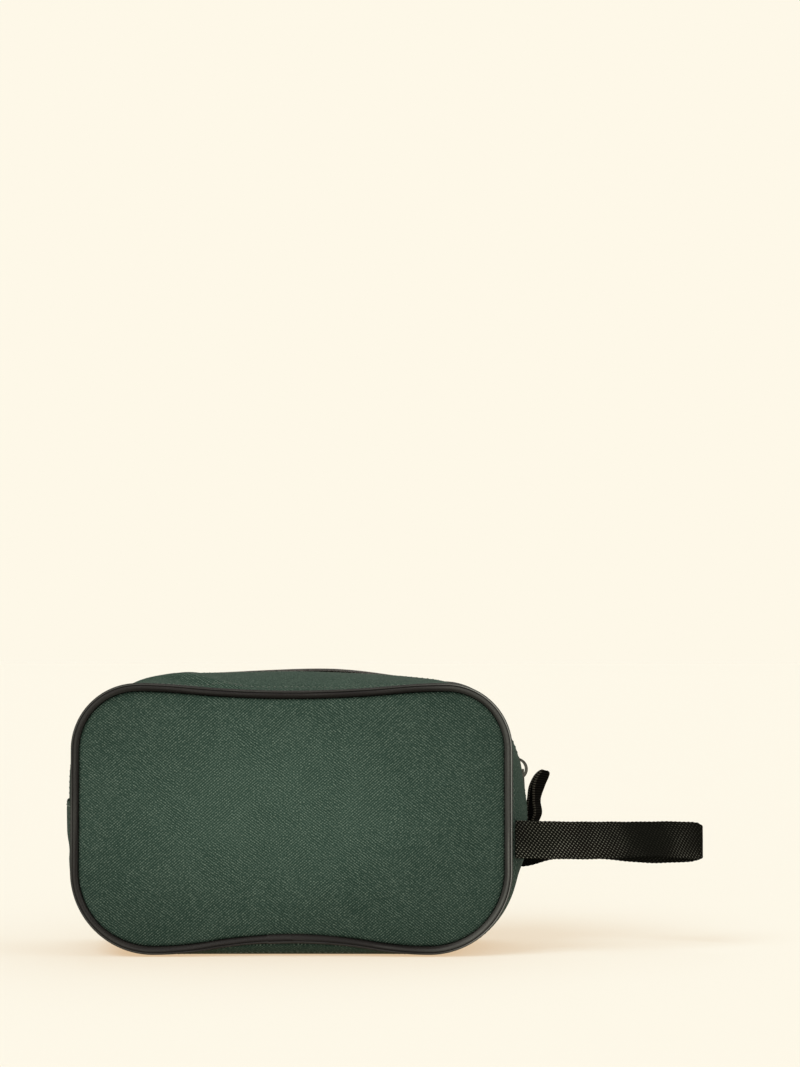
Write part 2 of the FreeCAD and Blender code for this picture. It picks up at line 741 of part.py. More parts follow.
def end_tab():
    """Ribbon folded into a slim loop, sewn down at its base."""
    def teardrop(offset):
        foot = offset - WELD
        full = TAB_HALF_GAP + offset
        marks = [
            Vector(-foot, 0, 0), Vector(-full, 0, TAB_LENGTH * TAB_FULLEST),
            Vector(0, 0, TAB_LENGTH - TAB_THICK + offset),
            Vector(full, 0, TAB_LENGTH * TAB_FULLEST), Vector(foot, 0, 0),
        ]
        curve = Part.BSplineCurve()
        curve.interpolate(marks)
        close = Part.LineSegment(marks[-1], marks[0]).toShape()
        return Part.Face(Part.Wire([curve.toShape(), close]))

    ribbon = teardrop(TAB_THICK).cut(teardrop(TAB_FOLD_GAP))
    ribbon.translate(Vector(0, -TAB_HALF_WIDTH, 0))
    tab = ribbon.extrude(Vector(0, 2 * TAB_HALF_WIDTH, 0))
    tab.rotate(Vector(0, 0, 0), UP, TAB_TWIST)
    tab.rotate(Vector(0, 0, 0), ALONG_Y, TAB_LEAN)
    tab.translate(Vector(TAB_X, 0, TAB_Z))
    return tab


def build():
    parts = {}
    parts["front_panel"] = panel(0, FABRIC_THICK, PANEL_INSET)
    parts["front_lining"] = panel(FABRIC_THICK + LAYER_GAP, LINING_THICK, LINING_INSET)
    parts["front_piping_cover"] = piping_cover()
    parts["front_piping_cord"] = piping_core()
    parts["front_seam_binding"] = seam_binding()
    for layer in ("panel", "lining", "piping_cover", "piping_cord", "seam_binding"):
        parts["rear_" + layer] = mirrored_y(parts["front_" + layer])

    left, lip, right, parts["front_lip_sewn_edge"] = zip_strip()
    for layer, solids in (("strip", (left, lip, right)), ("tape", zip_tape()), ("coil", zip_coil())):
        parts["front_zip_%s_left" % layer] = solids[0]
        parts["front_lip_" + layer] = solids[1]
        parts["front_zip_%s_right" % layer] = solids[2]
    for name in [name for name in parts if name.startswith(("front_zip", "front_lip"))]:
        parts[name.replace("front", "rear", 1)] = mirrored_y(parts[name])

    parts["base_gusset"] = base_gusset()
    parts["gusset_lining"] = gusset_lining()
    parts["slider_body"] = slider_body()
    parts["slider_pull"] = slider_pull()
    parts["strap_root_front"], parts["strap_root_rear"] = strap_roots()
    parts["wrist_strap"] = strap_loop()
    parts["zip_end_tab"] = end_tab()
    return parts


os.makedirs("parts", exist_ok=True)
for node, shape in build().items():
    box = shape.BoundBox
    print("%-22s solids %d valid %s volume %8.1f  x %7.2f %7.2f  y %6.2f %6.2f  z %6.2f %6.2f" % (
        node, len(shape.Solids), shape.isValid(), shape.Volume,
        box.XMin, box.XMax, box.YMin, box.YMax, box.ZMin, box.ZMax))
    shape.exportStep("parts/" + node + ".step")
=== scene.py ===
import math

import bmesh
import bpy
import numpy as np
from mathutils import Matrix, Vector


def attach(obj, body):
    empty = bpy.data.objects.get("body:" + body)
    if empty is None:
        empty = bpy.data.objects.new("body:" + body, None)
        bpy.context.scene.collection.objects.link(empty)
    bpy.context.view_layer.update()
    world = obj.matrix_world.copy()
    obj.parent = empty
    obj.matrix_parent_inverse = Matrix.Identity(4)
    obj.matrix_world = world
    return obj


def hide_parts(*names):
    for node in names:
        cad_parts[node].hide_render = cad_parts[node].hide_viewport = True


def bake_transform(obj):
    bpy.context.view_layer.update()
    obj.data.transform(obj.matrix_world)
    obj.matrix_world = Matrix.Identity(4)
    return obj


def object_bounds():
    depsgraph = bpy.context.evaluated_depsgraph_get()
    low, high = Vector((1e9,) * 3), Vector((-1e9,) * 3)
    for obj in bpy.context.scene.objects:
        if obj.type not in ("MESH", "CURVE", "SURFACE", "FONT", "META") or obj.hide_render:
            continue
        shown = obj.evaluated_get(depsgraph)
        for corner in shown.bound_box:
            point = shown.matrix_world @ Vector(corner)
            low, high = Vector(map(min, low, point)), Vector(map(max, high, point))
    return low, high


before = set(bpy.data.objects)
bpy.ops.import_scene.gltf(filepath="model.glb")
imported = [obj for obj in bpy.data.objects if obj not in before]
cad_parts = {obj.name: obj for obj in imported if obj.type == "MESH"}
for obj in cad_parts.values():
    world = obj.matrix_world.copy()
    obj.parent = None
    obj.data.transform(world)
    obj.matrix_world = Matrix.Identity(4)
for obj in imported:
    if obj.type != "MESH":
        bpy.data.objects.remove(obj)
CAD_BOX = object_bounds()

# Looks of a zipped wash bag. Shapes are worked out in millimetres and stored in metres.
# X runs along the bag towards the strap, Y is its depth with the front at -Y, and Z is up.
MM = 0.001
WHOLE_TURN = 2 * math.pi

# Piped seams, in the planes y = -SEAM_Y and y = +SEAM_Y
SEAM_Y = 40.0
SEAM_HALF_LENGTH = 115.0
SEAM_PEAK_Z = 142.0
SEAM_DIP_Z = 138.0
SEAM_LOW_Z = 3.0
SEAM_RISE_Z = 9.4
SEAM_TOP_CORNER = 33.0
SEAM_BOTTOM_CORNER = 42.0
SEAM_TOP_CREST = 250.0
SEAM_BOTTOM_CREST = 170.0

# Middle line of the gusset, in the plane y = 0
CORNER_X = 66.0
CORNER_Z = 88.5
FABRIC_CORNER = 58.0
FABRIC_TOP_Z = 150.4
FABRIC_SIDE = 150.0
FABRIC_SIDE_START = 8.0
FABRIC_BOTTOM_CORNER = 48.0
SOLE_Z = 0.1
SWELL = 2.0                     # extra fullness of the gusset under the strap
SWELL_Z = 70.0
SWELL_REACH = 18.0
LEFT_SLACK = 3.0                # the gusset stands out this much less on the left side
LEFT_SLACK_Z = 68.0
LEFT_SLACK_REACH = 34.0
LEFT_RISE = 1.8                 # the top stands higher beside the left corner
LEFT_RISE_X = -68.0
LEFT_RISE_REACH = 24.0
STRIP_DIP = 0.30                # right of the middle the strips and the coil lie lower by this,
COIL_RISE = 1.4                 # and then the coil alone stands higher by this
COIL_RISE_X = 24.0
COIL_RISE_REACH = 27.0

# Zip
CHAIN_CORNER = 56.9
CHAIN_TOP_Z = 151.0
CHAIN_SIDE = 400.0
CHAIN_SIDE_START = 2.0
COIL_THICK = 2.2
COIL_PITCH = 1.25
COIL_WIRE = 0.33                # radius of the coil's filament
COIL_HEAD = 1.2                 # which is this much thicker at the heads, closer to y = 0 than COIL_HEAD_Y
COIL_HEAD_Y = 0.7
COIL_MARGIN = 1.0
TAPE_OUTER_Y = 16.0
TAPE_THICK = 0.5
TAPE_GAP = 0.1                  # from the coil down to the tape
TAPE_FLAT_Y = 4.6
TAPE_RISE = 3.0
STRIP_EDGE_Y = 4.6
SLACK_X = -52.0                 # middle of the fold in the strips near the top left corner
SLACK_Y = 26.0
SLACK_WAY = (0.93, 0.37)        # the way that it runs
SLACK_HEIGHT = 3.2
SLACK_REACH = 24.0

# Layers
FABRIC_THICK = 0.8
LINING_THICK = 0.4
LAYER_GAP = 0.2
GUSSET_EDGE_Y = 37.6
LINING_EDGE_Y = 36.6
LINING_DROP = 2.0               # the base lining ends this far below the zip strips
STITCH_RADIUS = 0.28
STITCH_SINK = 0.18              # the ends of a stitch lie this deep in the cloth
STITCH_PITCH = 3.0
STITCH_SHARE = 0.72             # share of the pitch that the thread shows
STITCH_MARGIN = 0.02            # rows of stitches end this share of a place before the cloth does
STITCH_Y = 33.2                 # topstitching beside the piping
SEAM_STITCH_DENT = 0.25
BASE_STITCH_DENT = 0.22
FOLD_STITCH_Y = 7.0             # topstitching beside the coil
FOLD_STITCH_DENT = 0.22
LAP_STITCH_DROP = 2.5           # topstitching this far below the ends of the base gusset
LAP_STITCH_DENT = 0.3
SOLE_STITCH_SINK = 0.24         # the stitches lie this much deeper where the bag stands on them
SOLE_STITCH_Z = 8.0
LAP_LIFT = 1.15
LAP_RAMP = 12.0
STRIP_END_LEFT_Z = 66.0
STRIP_END_RIGHT_Z = 53.0
LAP_TOP_LEFT_Z = 81.0
LAP_TOP_RIGHT_Z = 67.0
PANEL_EDGE_Y = 39.0
LAP_END_SHARE = 0.004           # share of the base gusset's length over which its end is rounded
LAP_END_ROUND = 0.85            # share of the thickness that is rounded there
FLOOR_GAP = 0.02
EDGE_MARGIN = 0.6               # waves fade out this far past the edge of the gusset
SHEEN_BASE = 0.565                # tone of cloth without painted sheen, and how much cloth with full painted sheen gains
SHEEN_GAIN = 0.42
SHEEN_EVEN = 0.22                 # painted-sheen level of the gusset, even all over
PANEL_SHEEN_X = (-10.0, 115.0)    # middle and reach of the panels' painted sheen
PANEL_SHEEN_Z = (80.0, 62.0)
CLOTH_PITCH = 1.2               # from one slanted ridge of the green cloth to the next
PANEL_CROWN = 6.0
PANEL_CROWN_HALF_X = 120.0
PANEL_CROWN_HALF_Z = 70.0
PANEL_MID_Z = 72.0
PANEL_INSET = 2.35
LINING_INSET = 3.45
PIPING_RADIUS = 2.15
JOIN_X = 13.0                   # the cover's end laps over its start this far left of the middle
JOIN_EDGE = 0.9                 # the step rises over this length, stays full up to JOIN_FLAT and fades
JOIN_FLAT = 2.0
JOIN_LENGTH = 60.0
JOIN_STEP = 0.20                # share by which the lapping end is thicker
SIDE_HIGHLIGHT = (0.18, 55.0, 45.0)  # painted highlight on the cover round its corners and sides, the x where it starts and how soon it is full
RIGHT_HIGHLIGHT = (0.46, 60.0, 50.0)  # the same for the painted highlight that the right side gets on top
PIPING_SPLIT = 143.0            # angle where the outline of the cover starts, above its tail
PIPING_GROOVES = ((297, 0.60, 9.0), (345, 0.35, 8.0))  # angle, depth and half width in degrees
PIPING_LINES = (                # painted shade in the grooves and painted highlights on the ridge and bead: angle round the cover, change of tone and half width in mm
    (297, -0.60, 0.50), (321, 0.60, 0.50), (345, -0.30, 0.50), (262, 0.20, 1.10),
)
FLANGE_THICK = 0.6
FLANGE_LENGTH = 11.0
BINDING_THICK = 0.5
BINDING_START = 6.0
BINDING_GAP = 0.15

# Strap and tab
STRAP_WIDTH = 20.0
STRAP_THICK = 1.3
STRAP_START_X = 118.6
STRAP_START_Y = 37.8
STRAP_TIP_X = 222.6
STRAP_FOLD_RADIUS = 2.6
STRAP_CORNER = 3.6              # length over which the fold at the tip narrows, and by how much
STRAP_CORNER_DEPTH = 3.2
STRAP_BEND = (121.0, 137.0)     # x between which a weight along the webbing rises from 0 to 1, which nothing uses
STRAP_BOW = 4.0
STRAP_Z = 61.3
STRAP_DROOP = 2.2
TAB_X = 131.0
TAB_Z = 69.0
TAB_LENGTH = 27.6
TAB_HALF_WIDTH = 6.0
TAB_THICK = 1.0
TAB_INWARD = 1.6                # the ribbon leans on the gusset, inside the line it bends about
TAB_ROOT = 6.0                  # the ribbon runs on this far below the line it bends about
TAB_BEND = 9.0                  # length of ribbon above that line over which a weight rises, which nothing uses
TAB_TIP = 1.3                   # height of the round fold at the ribbon's tip

# Places 0 to 5 run from the top middle down the right side to the bottom middle, and on to 10
# up the left side. They are 1 at KNOT_MOUTH_X, 2 and 3 at these heights and 4 at KNOT_BOTTOM_X.
KNOT_MOUTH_X = 62.0
KNOT_SIDE_Z = 75.0
KNOT_LOW_Z = 50.0
KNOT_BOTTOM_X = 73.0
BOTTOM_MIDDLE = 5.0
FULL_LOOP = 10.0
FLAT_SHARE = 0.72               # share of the depth that is flat under the bag, from this place on
FLAT_START = 2.6
ROUND = np.radians(np.arange(0, 360, 60))  # section of a stitch or a turn of the coil


# ---- lines of arcs and runs in the XZ plane ----

class Turn:
    """An arc. Outward is away from its centre, or towards it when it is hollow."""

    def __init__(self, centre, radius, start, end, hollow=False):
        self.centre = centre
        self.radius = radius
        self.start = start
        self.end = end
        self.side = -1 if hollow else 1
        self.length = radius * math.radians(abs(end - start))

    def at(self, length):
        angle = math.radians(self.start + (self.end - self.start) * length / self.length)
        dx, dz = math.cos(angle), math.sin(angle)
        x = self.centre[0] + self.radius * dx
        z = self.centre[1] + self.radius * dz
        return x, z, self.side * dx, self.side * dz


class Run:
    """A straight run. Outward is to the left of the way it goes."""

    def __init__(self, start, end):
        self.start = start
        self.length = math.dist(start, end)
        self.dx = (end[0] - start[0]) / self.length
        self.dz = (end[1] - start[1]) / self.length

    def at(self, length):
        return self.start[0] + self.dx * length, self.start[1] + self.dz * length, -self.dz, self.dx


def crossing(passed, low, high):
    """Smallest value between low and high that has passed a mark."""
    for _ in range(50):
        middle = (low + high) / 2
        low, high = (low, middle) if passed(middle) else (middle, high)
    return low


class Path:
    """Tangent arcs and runs from the top middle, down the right side, to the bottom middle."""

    def __init__(self, pieces):
        self.pieces = pieces
        self.length = sum(piece.length for piece in pieces)

    def at(self, length):
        """Point and outward normal at a length. A length below 0 is on the left side."""
        side = 1 if length >= 0 else -1
        length = abs(length)
        if length > self.length:
            side = -side
            length = 2 * self.length - length
        for piece in self.pieces:
            if length <= piece.length or piece is self.pieces[-1]:
                x, z, nx, nz = piece.at(length)
                return side * x, z, side * nx, nz
            length -= piece.length

    def where(self, axis, value):
        """Length at which x (axis 0) grows past a value, or z (axis 1) falls past it."""
        sign = 1 if axis == 0 else -1
        return crossing(lambda length: sign * self.at(length)[axis] >= sign * value, 0.0, self.length)

    def points(self, lengths):
        return np.array([self.at(length) for length in lengths])


def crest_and_hollow(span, dip, crest):
    """Angle and hollow radius of two tangent arcs that fall by dip over span."""
    angle = 2 * math.atan(dip / span)
    return math.degrees(angle), span / math.sin(angle) - crest


def seam_path():
    top_x = SEAM_HALF_LENGTH - SEAM_TOP_CORNER
    low_x = SEAM_HALF_LENGTH - SEAM_BOTTOM_CORNER
    top_z = SEAM_PEAK_Z - SEAM_TOP_CORNER
    low_z = SEAM_LOW_Z + SEAM_BOTTOM_CORNER
    top_angle, top_hollow = crest_and_hollow(top_x, SEAM_PEAK_Z - SEAM_DIP_Z, SEAM_TOP_CREST)
    low_angle, low_hollow = crest_and_hollow(low_x, SEAM_RISE_Z - SEAM_LOW_Z, SEAM_BOTTOM_CREST)
    return Path([
        Turn((0, SEAM_DIP_Z + top_hollow), top_hollow, -90, -90 + top_angle, hollow=True),
        Turn((top_x, SEAM_PEAK_Z - SEAM_TOP_CREST), SEAM_TOP_CREST, 90 + top_angle, 90),
        Turn((top_x, top_z), SEAM_TOP_CORNER, 90, 0),
        Run((SEAM_HALF_LENGTH, top_z), (SEAM_HALF_LENGTH, low_z)),
        Turn((low_x, low_z), SEAM_BOTTOM_CORNER, 0, -90),
        Turn((low_x, SEAM_LOW_Z + SEAM_BOTTOM_CREST), SEAM_BOTTOM_CREST, -90, -90 - low_angle),
        Turn((0, SEAM_RISE_Z - low_hollow), low_hollow, 90 - low_angle, 90, hollow=True),
    ])


def crown_turn(corner_radius, top_z):
    """Arc over the top that is tangent to the corner arc and passes through (0, top_z)."""
    rise = top_z - CORNER_Z
    radius = (CORNER_X ** 2 + rise ** 2 - corner_radius ** 2) / (2 * (rise - corner_radius))
    meet = math.degrees(math.atan2(CORNER_Z - top_z + radius, CORNER_X))
    return Turn((0, top_z - radius), radius, 90, meet), meet


def side_centre(corner_radius, side_radius, angle):
    """Centre of the side arc that leaves the corner arc at an angle."""
    reach = side_radius - corner_radius
    x = CORNER_X - reach * math.cos(math.radians(angle))
    z = CORNER_Z - reach * math.sin(math.radians(angle))
    return x, z


def fabric_path():
    crown, meet = crown_turn(FABRIC_CORNER, FABRIC_TOP_Z)
    side = side_centre(FABRIC_CORNER, FABRIC_SIDE, FABRIC_SIDE_START)
    low_z = FABRIC_BOTTOM_CORNER + SOLE_Z
    reach = FABRIC_SIDE - FABRIC_BOTTOM_CORNER
    leave = -math.degrees(math.asin((side[1] - low_z) / reach))
    low_x = side[0] + reach * math.cos(math.radians(leave))
    return Path([
        crown,
        Turn((CORNER_X, CORNER_Z), FABRIC_CORNER, meet, FABRIC_SIDE_START),
        Turn(side, FABRIC_SIDE, FABRIC_SIDE_START, leave),
        Turn((low_x, low_z), FABRIC_BOTTOM_CORNER, leave, -90),
        Run((low_x, SOLE_Z), (0, SOLE_Z)),
    ])


def chain_path():
    crown, meet = crown_turn(CHAIN_CORNER, CHAIN_TOP_Z)
    side = side_centre(CHAIN_CORNER, CHAIN_SIDE, CHAIN_SIDE_START)
    end = math.degrees(math.asin((KNOT_LOW_Z - side[1]) / CHAIN_SIDE))
    return Path([
        crown,
        Turn((CORNER_X, CORNER_Z), CHAIN_CORNER, meet, CHAIN_SIDE_START),
        Turn(side, CHAIN_SIDE, CHAIN_SIDE_START, end),
    ])


SEAM = seam_path()
FABRIC = fabric_path()
CHAIN = chain_path()


def knots(path):
    """Lengths along a path at the whole-numbered places, from the top middle down the right side."""
    side = path.where(1, KNOT_SIDE_Z)
    lengths = [0.0, path.where(0, KNOT_MOUTH_X), side, path.where(1, KNOT_LOW_Z)]
    if path is not CHAIN:
        lengths += [path.length - KNOT_BOTTOM_X, path.length]
    return lengths


KNOTS = {path: knots(path) for path in (SEAM, FABRIC, CHAIN)}


def slackened(path, points):
    """The gusset's hollows and rises. The seam stays as it is."""
    if path is not SEAM:
        x, z = points[:, :2].T.copy()
        points[:, 0] += LEFT_SLACK * bump(z, LEFT_SLACK_Z, LEFT_SLACK_REACH) * (x < -CORNER_X)
        rises = [(LEFT_RISE, LEFT_RISE_X, LEFT_RISE_REACH), (-STRIP_DIP, COIL_RISE_X, COIL_RISE_REACH)]
        if path is CHAIN:
            rises.append((COIL_RISE, COIL_RISE_X, COIL_RISE_REACH))
        for height, middle, reach in rises:
            points[:, 1] += height * bump(x, middle, reach) * (z > CORNER_Z)
    return points


def follow(path, places):
    """Points and outward normals of a path at places, which run past 5 back up the left side."""
    turned = np.mod(places, FULL_LOOP)
    left = turned > BOTTOM_MIDDLE
    folded = np.where(left, FULL_LOOP - turned, turned)
    marks = KNOTS[path]
    lengths = np.interp(folded, np.arange(len(marks)), marks)
    return slackened(path, path.points(np.where(left, -lengths, lengths)))


def side_place(z):
    """Place on the right side where the gusset's middle line is at height z."""
    return crossing(lambda place: follow(FABRIC, [place])[0, 1] <= z, 1.0, 4.0)


def joined(*parts):
    """Points from their coordinates, which are arrays that fit each other."""
    return np.stack(np.broadcast_arrays(*parts), -1)


def smooth(value):
    """Soft step from 0 at 0 to 1 at 1."""
    value = np.clip(value, 0.0, 1.0)
    return value * value * (3 - 2 * value)


def bump(value, centre, reach):
    """Soft hump of height 1."""
    return np.exp(-((value - centre) / reach) ** 2)


def quarter_round(share):
    """Height of a rounded edge from 0 to 1, at a share of the way in from it."""
    return np.sqrt(np.clip(1 - (1 - np.clip(share, 0, 1)) ** 2, 0, 1))


def unit(vectors):
    return vectors / np.linalg.norm(vectors, axis=-1)[..., None]


def right_of(line):
    """Direction to the right of the way that a flat line goes, at each of its points."""
    forward = unit(np.gradient(line, axis=0))
    return joined(forward[:, 1], -forward[:, 0])


def lengths_along(points):
    """Length of a line of points from its start to each point."""
    return np.concatenate([[0], np.cumsum(np.linalg.norm(np.diff(points, axis=0), axis=-1))])


def on_grid(along, across, tone_lift=None):
    """Place on the cloth of each point of a grid, and its tone lift."""
    parts = [along[:, None], across[None, :]]
    if tone_lift is not None:
        parts.append(tone_lift[:, None])
    return joined(*parts)


def fabric_points(places, depths, lift):
    """Points of the gusset on a grid of places and depths, lifted outward from its outer face."""
    seam = follow(SEAM, places)[:, None, :]
    middle = follow(FABRIC, places)[:, None, :]
    turned = np.mod(places, FULL_LOOP)
    flat = FLAT_SHARE * smooth(np.minimum(turned, FULL_LOOP - turned) - FLAT_START)[:, None]
    edge = np.maximum(0.0, np.abs(depths) / SEAM_Y - flat) / (1 - flat)
    full = 1 - edge ** 2
    x, z, nx, nz = np.moveaxis(seam + (middle - seam) * full[..., None], -1, 0)
    size = np.hypot(nx, nz)
    swell = np.where(x > CORNER_X, SWELL * full * bump(z, SWELL_Z, SWELL_REACH), 0.0)
    lift = lift + swell
    return joined(x + nx / size * lift, depths, z + nz / size * lift)


def chain_points(places, depths, lift):
    x, z, nx, nz = (column[:, None] for column in follow(CHAIN, places).T)
    return joined(x + nx * lift, depths, z + nz * lift)


def tape_points(places, depths, depth):
    """Points of the zip tape: flat under the coil, then close under the fabric strip."""
    low = chain_points(places, depths, -COIL_THICK - TAPE_GAP - depth)
    high = fabric_points(places, depths, -FABRIC_THICK - LAYER_GAP - depth)
    share = smooth((np.abs(depths) - TAPE_FLAT_Y) / TAPE_RISE)[None, :, None]
    return low + (high - low) * share


# ---- meshes ----

def grid_quads(rows, columns, start=0, wrap_rows=False, wrap_columns=False):
    index = np.arange(rows * columns).reshape(rows, columns) + start
    if wrap_rows:
        index = np.vstack([index, index[:1]])
    if wrap_columns:
        index = np.hstack([index, index[:, :1]])
    corners = [index[:-1, :-1], index[1:, :-1], index[1:, 1:], index[:-1, 1:]]
    return np.stack(corners, -1).reshape(-1, 4)


def add_object(name, data):
    obj = bpy.data.objects.new(name, data)
    bpy.context.scene.collection.objects.link(obj)
    return obj


def piece(name, points, faces, material, cloth=None, sharp=50):
    """A mesh object from points in millimetres. cloth gives each point its place on the cloth and its tone
    lift.
    """
    mesh = bpy.data.meshes.new(name)
    mesh.from_pydata((points.reshape(-1, 3) * MM).tolist(), [], [list(map(int, face)) for face in faces])
    if cloth is not None:
        attribute = mesh.attributes.new("cloth", "FLOAT_VECTOR", "POINT")
        flat = np.full((len(mesh.vertices), 3), SHEEN_EVEN, np.float32)
        flat[:, :cloth.shape[-1]] = cloth.reshape(-1, cloth.shape[-1])
        attribute.data.foreach_set("vector", flat.ravel())
    shape = bmesh.new()
    shape.from_mesh(mesh)
    bmesh.ops.recalc_face_normals(shape, faces=shape.faces)
    shape.to_mesh(mesh)
    shape.free()
    mesh.polygons.foreach_set("use_smooth", [True] * len(mesh.polygons))
    mesh.set_sharp_from_angle(angle=math.radians(sharp))
    mesh.materials.append(material)
    return add_object(name, mesh)


def on_bag(obj, slot, *nodes):
    """The piece rides on the bag and stands for CAD nodes. slot is not used."""
    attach(obj, "bag")
    if nodes:
        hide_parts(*nodes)


def flat_places(grid):
    """Place of each grid point on the flat cloth: along the middle column and across the middle row."""
    rows, columns = grid.shape[:2]
    return on_grid(lengths_along(grid[:, columns // 2]), lengths_along(grid[rows // 2]))


def sheet(name, outer, inner, material, cloth=None):
    """Closed layer of cloth between two grids of points."""
    rows, columns = outer.shape[:2]
    count = rows * columns
    index = np.arange(count).reshape(rows, columns)
    rim = np.concatenate([index[0], index[1:, -1], index[-1, -2::-1], index[-2:0:-1, 0]])
    ahead = np.roll(rim, -1)
    faces = np.concatenate([
        grid_quads(rows, columns),
        grid_quads(rows, columns, count)[:, ::-1],
        joined(ahead, rim, rim + count, ahead + count),
    ])
    if cloth is None:
        cloth = flat_places(outer)
    return piece(name, np.concatenate([outer.reshape(-1, 3), inner.reshape(-1, 3)]), faces, material,
                 np.concatenate([cloth.reshape(-1, cloth.shape[-1])] * 2))


def sweep(name, rows, material, closed=False, cloth=None, sharp=50):
    """Solid with a closed cross-section in each row. Both ends are capped unless the rows close up."""
    count, sides = rows.shape[:2]
    faces = [list(face) for face in grid_quads(count, sides, wrap_rows=closed, wrap_columns=True)]
    if not closed:
        faces.append(list(range(sides)))
        faces.append(list(range((count - 1) * sides, count * sides))[::-1])
    return piece(name, rows, faces, material, cloth, sharp)


def tubes(name, rows, material):
    """Many short capped tubes in one mesh, as rings of points."""
    rings, sides = rows.shape[1:3]
    walls = grid_quads(rings, sides, wrap_columns=True)
    faces = []
    for start in range(0, len(rows) * rings * sides, rings * sides):
        last = start + rings * sides - 1
        faces += (walls + start).tolist()
        faces.append(list(range(start, start + sides)))
        faces.append(list(range(last, last - sides, -1)))
    return piece(name, rows, faces, material, sharp=80)


def set_blend(obj):
    """The piece's placement is baked into its points."""
    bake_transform(obj)


def points_of(obj):
    flat = np.zeros(len(obj.data.vertices) * 3)
    obj.data.vertices.foreach_get("co", flat)
    return flat.reshape(-1, 3) / MM


def follow_lip(obj, slot, side, *nodes):
    """The piece stands for CAD nodes and has its placement baked into its points. side, which is -1 at the
    front and 1 at the rear, is not used.
    """
    if nodes:
        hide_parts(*nodes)
    place = points_of(obj)
    set_blend(obj)


# ---- materials ----

class Finish:
    """A node material under construction."""

    def __init__(self, name, **sockets):
        self.material = bpy.data.materials.new(name)
        self.material.use_nodes = True
        self.tree = self.material.node_tree
        self.shader = self.tree.nodes["Principled BSDF"]
        for socket, value in sockets.items():
            self.shader.inputs[socket.replace("_", " ")].default_value = value

    def node(self, kind, output=0, inputs=None, **settings):
        """Adds a node, whose inputs are numbers or other outputs, and returns one of its outputs."""
        made = self.tree.nodes.new("ShaderNode" + kind)
        for name, value in settings.items():
            setattr(made, name, value)
        for name, value in (inputs or {}).items():
            if isinstance(value, bpy.types.NodeSocket):
                self.tree.links.new(value, made.inputs[name])
            else:
                made.inputs[name].default_value = value
        return made.outputs[output]

    def math(self, operation, *inputs):
        return self.node("Math", 0, dict(enumerate(inputs)), operation=operation)

    def times(self, *inputs):
        """The first input times the second, plus the third if there is one."""
        return self.math("MULTIPLY_ADD" if len(inputs) == 3 else "MULTIPLY", *inputs)

    def vector(self, operation, *inputs, output=0):
        return self.node("VectorMath", output, dict(enumerate(inputs)), operation=operation)

    def cloth(self):
        """Place on the flat cloth, in millimetres."""
        return self.node("Attribute", "Vector", attribute_name="cloth")

    def part(self, source, axis):
        return self.node("SeparateXYZ", axis, {0: source})

    def place(self):
        """Place on the object, in metres."""
        return self.node("TexCoord", "Object")

    def ridges(self, source, along, across, pitch=WHOLE_TURN, profile=1.0):
        """Even ridges from 0 to 1, with this many along and across in each pitch."""
        step = WHOLE_TURN / pitch
        phase = self.vector("DOT_PRODUCT", source, (step * along, step * across, 0), output="Value")
        wave = self.times(self.math("SINE", phase), 0.5, 0.5)
        return wave if profile == 1.0 else self.math("POWER", wave, profile)

    def noise(self, source, scale, detail=2.0, stretch=None):
        if stretch:
            source = self.vector("MULTIPLY", source, stretch)
        return self.node("TexNoise", 0, {"Vector": source, "Scale": scale, "Detail": detail})

    def mix(self, share, first, second):
        return self.node("Mix", 0, {"Factor": share, "A": first, "B": second}, data_type="FLOAT")

    def ramp(self, value, *stops):
        """Base colour from a value, by stops of a position and the colour there."""
        made = self.tree.nodes.new("ShaderNodeValToRGB")
        elements = made.color_ramp.elements
        while len(elements) < len(stops):
            elements.new(0.5)
        for element, (position, *colour) in zip(elements, stops):
            element.position = position
            element.color = (*colour, 1)
        self.tree.links.new(value, made.inputs[0])
        self.drive("Base Color", made.outputs[0])
        return made.outputs[0]

    def ramp_share(self, value, low, high):
        """Share from 0 to 1 as a value passes between two levels."""
        levels = {"Value": value, "From Min": low, "From Max": high}
        return self.node("MapRange", 0, levels, interpolation_type="SMOOTHSTEP")

    def rough(self, value, low, high):
        self.drive("Roughness", self.node("MapRange", 0, {"Value": value, "To Min": low, "To Max": high}))

    def relief(self, height, depth):
        """Bump from a height between 0 and 1, with a depth in millimetres. The material is then complete."""
        values = {"Height": height, "Strength": 1.0, "Distance": depth * MM}
        self.drive("Normal", self.node("Bump", 0, values))
        return self.material

    def drive(self, socket, output):
        self.tree.links.new(output, self.shader.inputs[socket])


def green_cloth():
    """Coated oxford cloth: two sets of slanted ridges break each other into threads. Painted sheen makes it
    paler.
    """
    made = Finish("green_cloth", Roughness=0.75, Specular_IOR_Level=0.05)
    cloth = made.cloth()
    wander = made.noise(cloth, 0.35)
    shifted = made.vector("ADD", cloth, wander)
    rise = made.ridges(shifted, 0.60, 0.80, CLOTH_PITCH)
    fall = made.ridges(shifted, -0.66, 0.75, CLOTH_PITCH)
    patches = made.ramp_share(made.noise(cloth, 0.03), 0.40, 0.60)
    main = made.mix(patches, rise, fall)
    other = made.mix(patches, fall, rise)
    thread = made.ramp_share(made.noise(cloth, 1.1, 3.0), 0.35, 0.68)
    weave = made.times(main, made.times(other, 0.55, 0.45))
    weave = made.times(weave, made.times(thread, 0.85, 0.35))
    cloudy = made.noise(cloth, 0.04, 4.0)
    tone = made.times(cloudy, 0.14, made.times(weave, 0.9))
    colour = made.ramp(tone, (0.06, 0.010, 0.025, 0.018), (0.40, 0.034, 0.058, 0.045),
                       (0.95, 0.102, 0.139, 0.111))
    # painted sheen: the panels are paler round a spot left of their middles and darker towards their edges,
    # the gusset is even
    tone_gain = made.times(made.part(cloth, "Z"), SHEEN_GAIN, SHEEN_BASE)
    made.drive("Base Color", made.node("VectorMath", 0, {0: colour, "Scale": tone_gain}, operation="SCALE"))
    return made.relief(weave, 0.16)


